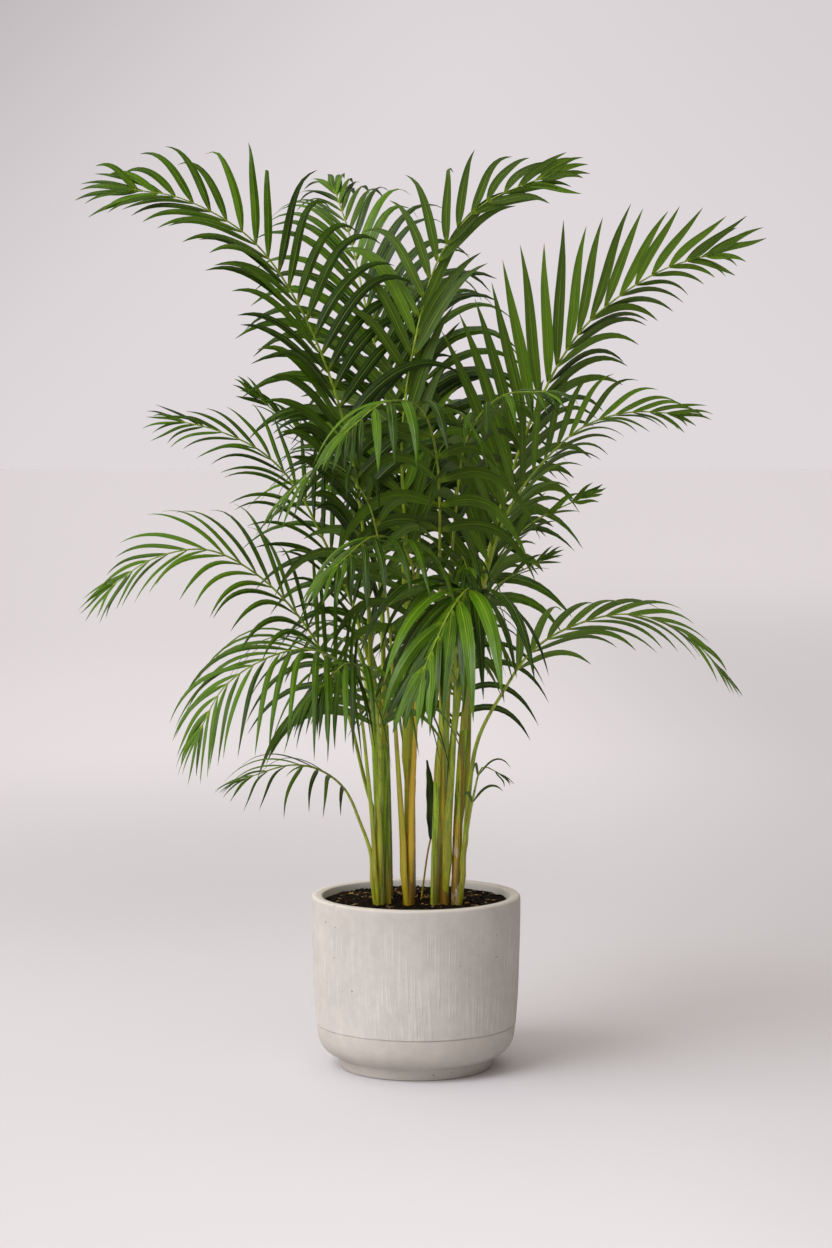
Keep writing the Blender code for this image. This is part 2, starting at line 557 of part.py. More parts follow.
def build_frond(frond, spine, others, finish):
    """One frond: its spine's tube, and each leaflet grown clear of the others. Returns the frond's search tree."""
    rings, bearing = rachis_rings(frond, spine)
    bm = bmesh.new()
    steps = sweep(bm, rings)
    own_spine = BVHTree.FromBMesh(bm)
    grown = []
    for step, share in zip(bearing, pair_shares(frond, spine)):
        for side_sign, corner in ((1, 0), (-1, 1)):
            face = steps[step][corner]
            near, far = rings[step], rings[step + 1]
            foot = [near[0], near[1], far[1], far[0]] if side_sign > 0 else [near[2], near[1], far[1], far[2]]
            for posture in POSTURES:
                loops, tip = leaflet_rings(frond, spine, share, side_sign, foot, posture)
                whole = leaflet_tree(foot, loops, tip, CLEARANCE)
                if any(whole.overlap(tree) for tree in others + grown):
                    continue
                if leaflet_tree(None, loops, tip, CLEARANCE).overlap(own_spine):
                    continue
                grow(bm, face, foot, loops, tip)
                grown.append(leaflet_tree(foot, loops, tip, 0.0))
                break
    tree = BVHTree.FromBMesh(bm)
    add_object(frond.name, bm, finish)
    return tree


def swept_tree(rings):
    """A search tree of the tube through the rings."""
    bm = bmesh.new()
    sweep(bm, rings)
    tree = BVHTree.FromBMesh(bm)
    bm.free()
    return tree


def main():
    for old in list(bpy.data.objects):
        bpy.data.objects.remove(old)
    pot_finish = material("cast stone", (0.56, 0.53, 0.49), 0.85)
    soil_finish = material("potting soil", (0.030, 0.020, 0.014), 0.95)
    cane_finish = material("cane", (0.34, 0.30, 0.06), 0.5)
    leaf_finish = material("leaf", (0.08, 0.17, 0.03), 0.4)

    build_pot(pot_finish)
    build_soil(soil_finish)
    for cane in CANES:
        build_cane(cane, cane_finish)
    build_spear(leaf_finish)
    canes = [swept_tree(cane_rings(cane)) for cane in CANES]
    spines = {frond.name: spine_of(frond) for frond in FRONDS}
    standing = {frond.name: swept_tree(rachis_rings(frond, spines[frond.name])[0]) for frond in FRONDS}
    for frond in FRONDS:
        others = canes + [tree for name, tree in standing.items() if name != frond.name]
        standing[frond.name] = build_frond(frond, spines[frond.name], others, leaf_finish)


if __name__ == "__main__":
    main()
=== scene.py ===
"""Potted areca palm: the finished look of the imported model.

Metres, +Z up, the origin at the centre of the pot's foot, -Y the front. The canes and fronds follow the same growth
values as the model's source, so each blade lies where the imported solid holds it.
"""

import logging
import math
import random
from dataclasses import dataclass, field
from enum import Enum

import bmesh
import bpy
from mathutils import Matrix, Vector, noise
from mathutils.kdtree import KDTree

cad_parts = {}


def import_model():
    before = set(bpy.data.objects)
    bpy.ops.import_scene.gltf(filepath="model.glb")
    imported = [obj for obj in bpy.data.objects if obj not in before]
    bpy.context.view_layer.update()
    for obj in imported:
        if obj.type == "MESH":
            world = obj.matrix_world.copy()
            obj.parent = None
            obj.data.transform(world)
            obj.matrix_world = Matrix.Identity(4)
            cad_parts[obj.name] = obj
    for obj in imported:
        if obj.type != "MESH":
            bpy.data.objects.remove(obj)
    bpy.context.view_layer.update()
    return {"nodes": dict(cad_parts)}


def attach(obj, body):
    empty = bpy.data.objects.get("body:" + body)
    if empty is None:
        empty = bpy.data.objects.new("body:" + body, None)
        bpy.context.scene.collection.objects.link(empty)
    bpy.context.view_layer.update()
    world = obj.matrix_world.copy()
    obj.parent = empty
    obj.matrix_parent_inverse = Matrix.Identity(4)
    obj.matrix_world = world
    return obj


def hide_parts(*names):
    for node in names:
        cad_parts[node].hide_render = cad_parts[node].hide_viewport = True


log = logging.getLogger("potted_palm")

Socket = bpy.types.NodeSocket
Node = bpy.types.Node
Material = bpy.types.Material
BMesh = bmesh.types.BMesh
Rings = list[list[Vector]]
Values = list[dict[str, float]]
Colour = tuple[float, float, float]
Pair = tuple[float, float]
Vectors = tuple[list[Vector], list[Vector]]
Station = tuple[Vector, Vector, Vector, float]

SOIL_TOP = 0.195
SOIL_DOME = 0.003
FIT_GAP = 0.0003


# ---- shader nodes ----


class Bench:
    """Where one node tree is put together: it adds nodes and joins their sockets."""

    def __init__(self, tree: bpy.types.NodeTree) -> None:
        """Keeps the tree that nodes are added to."""
        self.tree = tree

    def add(self, kind: str, **settings: object) -> Node:
        """Adds a node.

        Args:
            kind: The node's type, without the "ShaderNode" that all of them start with.
            settings: Properties of the node.

        Returns:
            The new node.
        """
        node = self.tree.nodes.new("ShaderNode" + kind)
        for key, value in settings.items():
            setattr(node, key, value)
        return node

    def feed(self, node: Node, **inputs: object) -> Node:
        """Gives a node's inputs their links or values.

        Args:
            node: The node to feed.
            inputs: By input name, with _ for a space: an output socket to link, or a plain value. A name such as
                in0 means the input of that number.

        Returns:
            The same node.
        """
        for key, value in inputs.items():
            by_number = key[:2] == "in" and key[2:].isdigit()
            socket = node.inputs[int(key[2:]) if by_number else key.replace("_", " ")]
            if isinstance(value, bpy.types.NodeSocket):
                self.tree.links.new(value, socket)
            elif socket.type == "RGBA" and len(value) == 3:
                socket.default_value = (*value, 1.0)
            else:
                socket.default_value = value
        return node

    def math(self, kind: str, a: object, b: object = 0.0, clamp: bool = False) -> Socket:
        """One Math node's result.

        Args:
            kind: The operation.
            a: The first socket or number.
            b: The second one, where the operation has it.
            clamp: Whether the result is held from 0 to 1.

        Returns:
            The node's output.
        """
        return self.feed(self.add("Math", operation=kind, use_clamp=clamp), in0=a, in1=b).outputs[0]

    def plus(self, a: object, b: object, clamp: bool = False) -> Socket:
        """The sum of two sockets or numbers, held from 0 to 1 if clamp is set."""
        return self.math("ADD", a, b, clamp)

    def minus(self, a: object, b: object) -> Socket:
        """The difference of two sockets or numbers."""
        return self.math("SUBTRACT", a, b)

    def times(self, a: object, b: object) -> Socket:
        """The product of two sockets or numbers."""
        return self.math("MULTIPLY", a, b)

    def grey(self, level: Socket) -> Socket:
        """A grey of a level."""
        return self.feed(self.add("CombineColor"), Red=level, Green=level, Blue=level).outputs[0]

    def where(self) -> Socket:
        """Object coordinates."""
        return self.add("TexCoord").outputs["Object"]

    def axes(self, vector: Socket) -> bpy.types.bpy_prop_collection:
        """A vector's X, Y and Z outputs."""
        return self.feed(self.add("SeparateXYZ"), Vector=vector).outputs

    def ramp(self, value: object, low: object, high: object, to_low: float = 0.0, to_high: float = 1.0) -> Socket:
        """A smooth step, held outside its ends.

        Args:
            value: The socket that is followed.
            low: Where the step starts.
            high: Where it ends.
            to_low: The result at its start.
            to_high: The result at its end.

        Returns:
            The result's socket.
        """
        node = self.add("MapRange", interpolation_type="SMOOTHSTEP", clamp=True)
        self.feed(node, Value=value, From_Min=low, From_Max=high, To_Min=to_low, To_Max=to_high)
        return node.outputs[0]

    def blend(self, share: object, a: object, b: object, kind: str = "MIX") -> Socket:
        """Mixes two colours.

        Args:
            share: How much of b shows, a socket or a number.
            a: The first colour or socket.
            b: The second colour or socket.
            kind: The blend type.

        Returns:
            The mixed colour's socket.
        """
        node = self.add("Mix", data_type="RGBA", blend_type=kind)
        self.feed(node, in0=share, in6=a, in7=b)
        return node.outputs[2]

    def attribute(self, name: str) -> Socket:
        """A named attribute's number."""
        return self.add("Attribute", attribute_name=name).outputs["Fac"]

    def place(self, scale: tuple[float, float, float]) -> Socket:
        """Object coordinates, multiplied by a scale on each axis."""
        return self.feed(self.add("Mapping"), Vector=self.where(), Scale=scale).outputs[0]

    def noise(self, vector: object, scale: float, detail: float = 4.0, rough: float = 0.5) -> Socket:
        """Noise from 0 to 1 at a place."""
        node = self.feed(self.add("TexNoise"), Vector=vector, Scale=scale, Detail=detail, Roughness=rough)
        return node.outputs["Fac"]


class Effects:
    """The node groups that several finishes share, each built once."""

    def __init__(self) -> None:
        """Builds every group."""
        self.mottle = self._mottle()
        self.grain = self._grain()
        self.specks = self._specks()

    @staticmethod
    def _begin(
            name: str, inputs: dict[str, float | Colour],
            outputs: list[tuple[str, str]]) -> tuple[bpy.types.NodeTree, Bench, Node, Node]:
        """Starts a group with its sockets.

        Args:
            name: The group's name.
            inputs: Each input's name and first value, a colour where it has three numbers.
            outputs: Each output's name and socket type.

        Returns:
            The tree, its bench, and its input and output nodes.
        """
        tree = bpy.data.node_groups.new(name, "ShaderNodeTree")
        for key, value in inputs.items():
            kind = "NodeSocketColor" if isinstance(value, tuple) else "NodeSocketFloat"
            made = tree.interface.new_socket(name=key, in_out="INPUT", socket_type=kind)
            made.default_value = (*value, 1.0) if isinstance(value, tuple) else value
        for key, kind in outputs:
            tree.interface.new_socket(name=key, in_out="OUTPUT", socket_type=kind)
        entry = tree.nodes.new("NodeGroupInput")
        end = tree.nodes.new("NodeGroupOutput")
        return tree, Bench(tree), entry, end

    def _mottle(self) -> bpy.types.NodeTree:
        """Cloudy light and dark patches over a colour.

        Returns:
            The group's tree.
        """
        inputs = {"Colour": (0.5, 0.5, 0.5), "Scale": 10.0, "Amount": 0.1}
        outputs = [("Colour", "NodeSocketColor"), ("Mask", "NodeSocketFloat")]
        tree, bench, entry, end = self._begin("Mottle", inputs, outputs)
        where = bench.where()
        cloud = bench.feed(bench.add("TexNoise"), Vector=where, Scale=entry.outputs["Scale"], Detail=5.0, Roughness=0.6)
        mask = bench.ramp(cloud.outputs["Fac"], 0.3, 0.7)
        spread = bench.times(bench.minus(mask, 0.5), entry.outputs["Amount"])
        level = bench.plus(spread, 1.0)
        shade = bench.grey(level)
        bench.feed(end, Colour=bench.blend(1.0, entry.outputs["Colour"], shade, "MULTIPLY"), Mask=mask)
        return tree

    def _grain(self) -> bpy.types.NodeTree:
        """Fine lines that run along Z, from 0 to 1.

        Returns:
            The group's tree.
        """
        inputs = {"Across Scale": 300.0, "Along Scale": 8.0, "Low": 0.35, "High": 0.65}
        tree, bench, entry, end = self._begin("Grain", inputs, [("Lines", "NodeSocketFloat")])
        where = bench.where()
        scale = bench.feed(
            bench.add("CombineXYZ"), X=entry.outputs["Across Scale"], Y=entry.outputs["Across Scale"],
            Z=entry.outputs["Along Scale"]).outputs[0]
        stretched = bench.feed(bench.add("VectorMath", operation="MULTIPLY"), in0=where, in1=scale).outputs[0]
        lines = bench.noise(stretched, 1.0, 3.0, 0.55)
        bench.feed(end, Lines=bench.ramp(lines, entry.outputs["Low"], entry.outputs["High"]))
        return tree

    def _specks(self) -> bpy.types.NodeTree:
        """Small scattered dots, 1 at their middle and 0 between them.

        Returns:
            The group's tree.
        """
        inputs = {"Scale": 100.0, "Radius": 0.12, "Rarity": 0.8}
        tree, bench, entry, end = self._begin("Specks", inputs, [("Dots", "NodeSocketFloat")])
        where = bench.where()
        cells = bench.feed(bench.add("TexVoronoi"), Vector=where, Scale=entry.outputs["Scale"])
        painted_inside = bench.math("LESS_THAN", cells.outputs["Distance"], entry.outputs["Radius"])
        parts = bench.feed(bench.add("SeparateColor"), Color=cells.outputs["Color"]).outputs[0]
        chosen = bench.math("GREATER_THAN", parts, entry.outputs["Rarity"])
        bench.feed(end, Dots=bench.times(painted_inside, chosen))
        return tree


@dataclass(frozen=True)
class Finish:
    """A named material that is worked out on a bench."""

    name: str

    def make(self, effects: Effects) -> Material:
        """Builds the material.

        Args:
            effects: The shared node groups.

        Returns:
            The material.
        """
        made = bpy.data.materials.new(self.name)
        made.use_nodes = True
        bench = Bench(made.node_tree)
        shader = made.node_tree.nodes["Principled BSDF"]
        self.dress(bench, shader, effects)
        return made

    def dress(self, bench: Bench, shader: Node, effects: Effects) -> None:
        """Feeds the shader, each finish in its own way."""
        raise NotImplementedError

    @staticmethod
    def group(bench: Bench, tree: bpy.types.NodeTree, **inputs: object) -> Node:
        """Places a shared group with its own values and returns its node."""
        return bench.feed(bench.add("Group", node_tree=tree), **inputs)

    def lines(
            self, bench: Bench, effects: Effects, across: float, along: float, low: float = 0.35,
            high: float = 0.65) -> Socket:
        """Fine lines along Z.

        Args:
            bench: The material's bench.
            effects: The shared node groups.
            across: How close the lines are.
            along: How quickly they change along Z.
            low: The noise level that is still 0.
            high: The noise level that is 1.

        Returns:
            The mask's socket.
        """
        made = self.group(bench, effects.grain, Across_Scale=across, Along_Scale=along, Low=low, High=high)
        return made.outputs["Lines"]

    def dots(self, bench: Bench, effects: Effects, scale: float, radius: float, rarity: float) -> Socket:
        """Scattered dots.

        Args:
            bench: The material's bench.
            effects: The shared node groups.
            scale: How close they may be.
            radius: Each one's radius, as a share of its cell.
            rarity: The share of cells left empty.

        Returns:
            The mask's socket.
        """
        return self.group(bench, effects.specks, Scale=scale, Radius=radius, Rarity=rarity).outputs["Dots"]

    @staticmethod
    def bump(bench: Bench, shader: Node, height: object, strength: float, distance: float) -> None:
        """Gives the shader a bump from a height."""
        node = bench.feed(bench.add("Bump"), Height=height, Strength=strength, Distance=distance)
        bench.feed(shader, Normal=node.outputs[0])


@dataclass(frozen=True)
class LeafFinish(Finish):
    """The glossy leaf: deep green, with a pale midrib, lengthwise veins, paler undersides and the odd dry tip."""

    deep: Colour
    fresh: Colour
    vein: Colour
    rib: Colour
    dry: Colour
    roughness: float
    specular: float

    def dress(self, bench: Bench, shader: Node, effects: Effects) -> None:
        """Feeds colour, gloss and veins.

        Args:
            bench: The material's bench.
            shader: Its Principled shader.
            effects: The shared node groups.
        """
        along = bench.attribute("along")
        from_rib = bench.math("ABSOLUTE", bench.attribute("across"))
        tone = bench.attribute("tone")
        under = bench.math("GREATER_THAN", bench.attribute("under"), 0.5)

        lines = bench.add("TexNoise", noise_dimensions="2D")
        line_place = bench.feed(
            bench.add("CombineXYZ"), X=bench.times(bench.attribute("across"), 12.0),
            Y=bench.plus(bench.times(tone, 60.0), bench.times(along, 1.6))).outputs[0]
        bench.feed(lines, Vector=line_place, Scale=1.0, Detail=3.0)
        veins = bench.ramp(lines.outputs["Fac"], 0.42, 0.62)

        cloud = self.group(bench, effects.mottle, Scale=38.0, Amount=1.0).outputs["Mask"]
        body = bench.times(tone, 0.80)
        body = bench.plus(body, bench.times(cloud, 0.20), clamp=True)
        colour = bench.blend(bench.ramp(body, 0.10, 0.92), self.deep, self.fresh)
        colour = bench.blend(bench.times(veins, bench.ramp(body, 0.0, 1.0, 0.26, 0.56)), colour, self.vein)
        rib = bench.ramp(from_rib, 0.01, 0.08, 1.0, 0.0)
        rib = bench.times(rib, bench.ramp(along, 0.1, 1.0, 0.60, 0.25))
        colour = bench.blend(rib, colour, self.rib)
        colour = bench.blend(bench.ramp(along, 0.0, 0.10, 0.6, 0.0), colour, self.rib)
        colour = bench.blend(bench.times(under, 0.20), colour, self.vein)
        tip = bench.times(bench.ramp(along, 0.93, 0.99), bench.math("GREATER_THAN", tone, 0.72))
        colour = bench.blend(tip, colour, self.dry)
        gloss = bench.plus(bench.times(veins, 0.10), self.roughness)
        gloss = bench.plus(gloss, bench.times(under, 0.14))
        bench.feed(shader, Base_Color=colour, Roughness=gloss)
        shader.inputs["Specular IOR Level"].default_value = self.specular
        height = bench.plus(bench.times(veins, 0.5), rib)
        self.bump(bench, shader, height, 0.45, 0.0006)


@dataclass(frozen=True)
class StalkFinish(Finish):
    """Leaf stalks: green with fine lengthwise streaks, turning golden where the golden attribute says so."""

    green: Colour
    deep: Colour
    tip: Colour
    golden: Colour
    speck: Colour
    roughness: float

    def dress(self, bench: Bench, shader: Node, effects: Effects) -> None:
        """Feeds colour, streaks and gloss.

        Args:
            bench: The material's bench.
            shader: Its Principled shader.
            effects: The shared node groups.
        """
        along = bench.attribute("along")
        golden = bench.attribute("golden")
        lines = self.lines(bench, effects, 700.0, 22.0)
        bands = self.lines(bench, effects, 260.0, 6.0, 0.42, 0.58)
        colour = bench.blend(bench.ramp(along, 0.2, 0.9), self.green, self.tip)
        colour = bench.blend(bench.times(bands, 0.55), colour, self.deep)
        streaks = bench.times(lines, 0.35)
        gilt = bench.plus(golden, bench.minus(streaks, 0.17), clamp=True)
        colour = bench.blend(gilt, colour, self.golden)
        dots = self.dots(bench, effects, 420.0, 0.25, 0.82)
        colour = bench.blend(bench.times(dots, 0.5), colour, self.speck)
        bench.feed(shader, Base_Color=colour)
        bench.feed(shader, Roughness=bench.plus(bench.times(lines, 0.12), self.roughness))
        self.bump(bench, shader, lines, 0.3, 0.0003)


@dataclass(frozen=True)
class CaneFinish(Finish):
    """Canes: brown-gold at the soil, then yellow-green, then green, with a scar round each joint and papery remains."""

    foot: Colour
    gold: Colour
    green: Colour
    deep: Colour
    scar: Colour
    paper: Colour
    roughness: float

    def dress(self, bench: Bench, shader: Node, effects: Effects) -> None:
        """Feeds colour, scars, streaks and gloss.

        Args:
            bench: The material's bench.
            shader: Its Principled shader.
            effects: The shared node groups.
        """
        height = bench.attribute("height")
        joint = bench.attribute("joint")
        golden = bench.attribute("golden")
        lines = self.lines(bench, effects, 520.0, 9.0)
        bands = self.lines(bench, effects, 230.0, 5.0, 0.42, 0.56)
        cloud = self.group(bench, effects.mottle, Scale=60.0, Amount=1.0).outputs["Mask"]

        shifted = bench.plus(height, bench.times(bench.minus(cloud, 0.5), 0.05))
        shifted = bench.plus(shifted, bench.times(bench.minus(bands, 0.5), 0.10))
        shifted = bench.minus(shifted, bench.times(golden, 0.16))
        colour = bench.blend(bench.ramp(shifted, -0.06, 0.06), self.gold, self.green)
        low = bench.ramp(height, 0.0, 0.11, 0.85, 0.0)
        colour = bench.blend(bench.times(low, bench.plus(golden, 0.1, clamp=True)), colour, self.foot)
        colour = bench.blend(bench.times(bench.ramp(lines, 0.3, 0.8), 0.62), colour, self.deep)
        band = bench.math("PINGPONG", joint, 0.5)
        scar = bench.ramp(band, 0.0, 0.020, 1.0, 0.0)
        colour = bench.blend(bench.times(scar, 0.30), colour, self.scar)
        dots = self.dots(bench, effects, 330.0, 0.3, 0.75)
        colour = bench.blend(bench.times(dots, 0.35), colour, self.scar)
        flakes = bench.noise(bench.place((70.0, 70.0, 28.0)), 1.0, 5.0, 0.65)
        papery = bench.times(bench.ramp(flakes, 0.50, 0.56), bench.attribute("papery"))
        colour = bench.blend(bench.times(papery, 0.85), colour, self.paper)
        bench.feed(shader, Base_Color=colour)
        gloss = bench.plus(bench.times(papery, 0.35), self.roughness)
        bench.feed(shader, Roughness=gloss)
        relief = bench.plus(bench.times(bands, 0.6), bench.times(papery, 0.8))
        self.bump(bench, shader, bench.plus(relief, bench.times(lines, 0.4)), 0.5, 0.0007)


@dataclass(frozen=True)
class StoneFinish(Finish):
    """Cast stone: warm grey, cloudy, with combed vertical lines above the groove, pits and a smoother shoulder. Its
    paler inner wall is painted light, and its dark groove line and pits are painted shade.
    """

    body: Colour
    shoulder: Colour
    crest: Colour
    groove: Colour
    rim: Colour
    pit: Colour
    groove_height: float
    rim_height: float
    roughness: float

    def dress(self, bench: Bench, shader: Node, effects: Effects) -> None:
        """Feeds colour, combing, pits and roughness.

        Args:
            bench: The material's bench.
            shader: Its Principled shader.
            effects: The shared node groups.
        """
        where = bench.where()
        height = bench.axes(where)["Z"]
        above = bench.ramp(height, self.groove_height - 0.002, self.groove_height + 0.002)
        combed = bench.times(above, bench.ramp(height, self.rim_height - 0.06, self.rim_height - 0.010, 1.0, 0.15))
        lines = self.lines(bench, effects, 340.0, 9.0, 0.46, 0.64)
        patch = bench.ramp(bench.noise(where, 30.0, 4.0), 0.34, 0.56, 0.10, 1.0)
        comb = bench.times(bench.times(lines, combed), patch)
        fine = bench.noise(where, 900.0, 3.0, 0.7)

        colour = bench.blend(above, self.shoulder, self.body)
        cloud = self.group(bench, effects.mottle, Colour=colour, Scale=13.0, Amount=0.12)
        cloud = self.group(bench, effects.mottle, Colour=cloud.outputs["Colour"], Scale=70.0, Amount=0.09)
        colour = cloud.outputs["Colour"]
        colour = bench.blend(bench.times(comb, 0.20), colour, self.crest)
        # Painted shade: dark dots for the shade in pits and pores, which the bump below also sinks.
        pits = self.dots(bench, effects, 95.0, 0.10, 0.90)
        pores = self.dots(bench, effects, 260.0, 0.16, 0.86)
        colour = bench.blend(bench.times(pits, 0.75), colour, self.pit)
        colour = bench.blend(bench.times(pores, 0.22), colour, self.pit)
        # Painted shade: a thin dark line along the groove.
        line = bench.math("ABSOLUTE", bench.minus(height, self.groove_height))
        colour = bench.blend(bench.ramp(line, 0.0004, 0.0016, 0.12, 0.0), colour, self.groove)
        flat = bench.feed(bench.add("VectorMath", operation="MULTIPLY"), in0=where, in1=(1.0, 1.0, 0.0)).outputs[0]
        out = bench.feed(bench.add("VectorMath", operation="LENGTH"), in0=flat).outputs["Value"]
        # Painted light: the inner wall below the rim is blended to the pale colour, as if lit.
        painted_inside = bench.times(bench.ramp(out, 0.1125, 0.1145, 0.92, 0.0), bench.ramp(height, 0.150, 0.170))
        colour = bench.blend(painted_inside, colour, self.crest)
        # The rim's top edge turns toward the paler, warmer rim colour.
        rim_top_pale = bench.ramp(height, self.rim_height - 0.0030, self.rim_height - 0.0004, 0.0, 0.62)
        colour = bench.blend(rim_top_pale, colour, self.rim)
        # The lowest centimetre leans to the plain shoulder colour.
        near_foot = bench.ramp(height, 0.0, 0.010, 0.35, 0.0)
        colour = bench.blend(near_foot, colour, self.shoulder)
        bench.feed(shader, Base_Color=colour)
        bench.feed(shader, Roughness=bench.plus(bench.times(fine, 0.12), self.roughness))
        relief = bench.plus(bench.times(comb, 0.55), bench.times(fine, 0.22))
        relief = bench.minus(relief, bench.plus(pits, bench.times(pores, 0.5)))
        self.bump(bench, shader, relief, 0.55, 0.0012)


@dataclass(frozen=True)
class SoilFinish(Finish):
    """Moist potting compost: near black, with crumbs and woody bits in browns."""

    dark: Colour
    crumb: Colour
    wood: Colour
    roughness: float
    specular: float

    def dress(self, bench: Bench, shader: Node, effects: Effects) -> None:
        """Feeds colour, crumbs and roughness.

        Args:
            bench: The material's bench.
            shader: Its Principled shader.
            effects: The shared node groups.
        """
        where = bench.where()
        tone = bench.attribute("tone")
        cells = bench.feed(bench.add("TexVoronoi"), Vector=where, Scale=330.0)
        pick = bench.feed(bench.add("SeparateColor"), Color=cells.outputs["Color"]).outputs[0]
        colour = bench.blend(bench.ramp(pick, 0.3, 1.0), self.dark, self.crumb)
        colour = bench.blend(bench.ramp(tone, 0.35, 0.9), colour, self.crumb)
        colour = bench.blend(bench.ramp(tone, 0.84, 0.97), colour, self.wood)
        colour = self.group(bench, effects.mottle, Colour=colour, Scale=120.0, Amount=0.8).outputs["Colour"]
        bench.feed(shader, Base_Color=colour)
        bench.feed(shader, Roughness=bench.plus(bench.times(pick, 0.15), self.roughness))
        shader.inputs["Specular IOR Level"].default_value = self.specular
        relief = bench.plus(bench.times(cells.outputs["Distance"], 1.0), bench.noise(where, 700.0, 3.0, 0.7))
        self.bump(bench, shader, relief, 0.9, 0.0015)


# ---- growth: canes and fronds ----

LEAFLET_WIDTH = 0.0140
LEAFLET_FOOT = 0.0050
LEAFLET_STEPS = 8
PETIOLE_RADIUS = 0.0033
RACHIS_TIP_RADIUS = 0.0010
HUG_LENGTH = 0.030
CLEARANCE = 0.0008
CURL_POWER = 1.7
FAN_POWER = 1.4
LONGEST_AT = 0.25
FIRST_LENGTH = 0.85
LAST_LENGTH = 0.30
SPINE_SAMPLES = 14
NARROWEST_FOR_LENGTH = 0.65
NARROWED_AT_TIP = 0.30
JITTER_FAN_DEG = 3
JITTER_RISE_DEG = 4
JITTER_LENGTH = (0.93, 1.05)
JITTER_DROOP = (0.85, 1.15)
SHORTER = (1.0, 0.85, 0.7, 0.5, 0.35)
RISE_SHIFTS_DEG = (0, 6, -6, 12, -12, 18, -18, 26, -26, 34, -34)
FAN_SHIFTS_DEG = (0, 7, -7)
POSTURES = [(short, rise, fan) for short in SHORTER for rise in RISE_SHIFTS_DEG for fan in FAN_SHIFTS_DEG]
# The last leaflets of a frond: the share of the spine each grows at, its angle off the spine, and its length factor.
TERMINALS = [(0.955, 24, 0.46), (0.962, -22, 0.44), (0.985, 13, 0.40), (0.99, -11, 0.38), (1.0, 2, 0.34)]
TERMINAL_DROOP = 0.5
TERMINAL_WIDTH = 0.52


class Side(Enum):
    """The two sides of a blade, by the sign of its side vector and the place of its values in each pair."""

    NEAR = (1, 0)
    FAR = (-1, 1)

    @property
    def sign(self) -> int:
        """1 or -1."""
        return self.value[0]

    @property
    def pick(self) -> int:
        """The index of this side's value in a pair."""
        return self.value[1]


@dataclass(frozen=True)
class Cane:
    """One cane's axis and thickness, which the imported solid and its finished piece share."""

    name: str
    x: float
    y: float
    lean_x: float
    lean_y: float
    height: float
    radius: float
    top_radius: float
    golden: float = 0.5
    papery: float = 0.0

    def axis(self, height: float) -> Vector:
        """The point on the axis at a height above the soil."""
        lean = (max(height, 0.0) / self.height) ** 2
        return Vector((self.x + self.lean_x * lean, self.y + self.lean_y * lean, SOIL_TOP + height))

    def thickness(self, height: float) -> float:
        """The radius at a height above the soil."""
        share = max(height, 0.0) / self.height
        return self.radius + (self.top_radius - self.radius) * share


CANES = [
    Cane("cane_left_front", -0.043, -0.038, -0.006, 0.000, 0.210, 0.0050, 0.0044, 0.05, 0.3),
    Cane("cane_left_rear", -0.034, -0.028, -0.004, 0.004, 0.190, 0.0048, 0.0042, 0.15),
    Cane("cane_centre", -0.008, -0.040, 0.000, 0.002, 0.180, 0.0070, 0.0052, 1.0),
    Cane("cane_slim", 0.021, -0.043, 0.004, -0.004, 0.150, 0.0042, 0.0038, 0.25),
    Cane("cane_right", 0.033, -0.033, -0.002, 0.002, 0.200, 0.0066, 0.0050, 0.8),
    Cane("cane_right_outer", 0.048, -0.036, 0.008, 0.002, 0.210, 0.0064, 0.0046, 1.0, 1.0),
    Cane("cane_back_left", -0.033, 0.018, -0.004, 0.008, 0.210, 0.0058, 0.0046, 0.4),
    Cane("cane_back_centre", -0.006, 0.032, -0.002, 0.008, 0.230, 0.0062, 0.0048, 0.6),
    Cane("cane_back_right", 0.030, 0.018, 0.006, 0.006, 0.220, 0.0060, 0.0048, 0.3, 0.4),
]


@dataclass(frozen=True)
class Frond:
    """One frond's growth values. Each pair holds a value for the near side and one for the far side."""

    name: str
    cane: str
    parts: float | None
    via: list[tuple[float, float, float]]
    roll: float
    blade: float
    pairs: int
    reach: Pair
    broad: float
    fan: tuple[Pair, Pair]
    rise: Pair
    droop: Pair


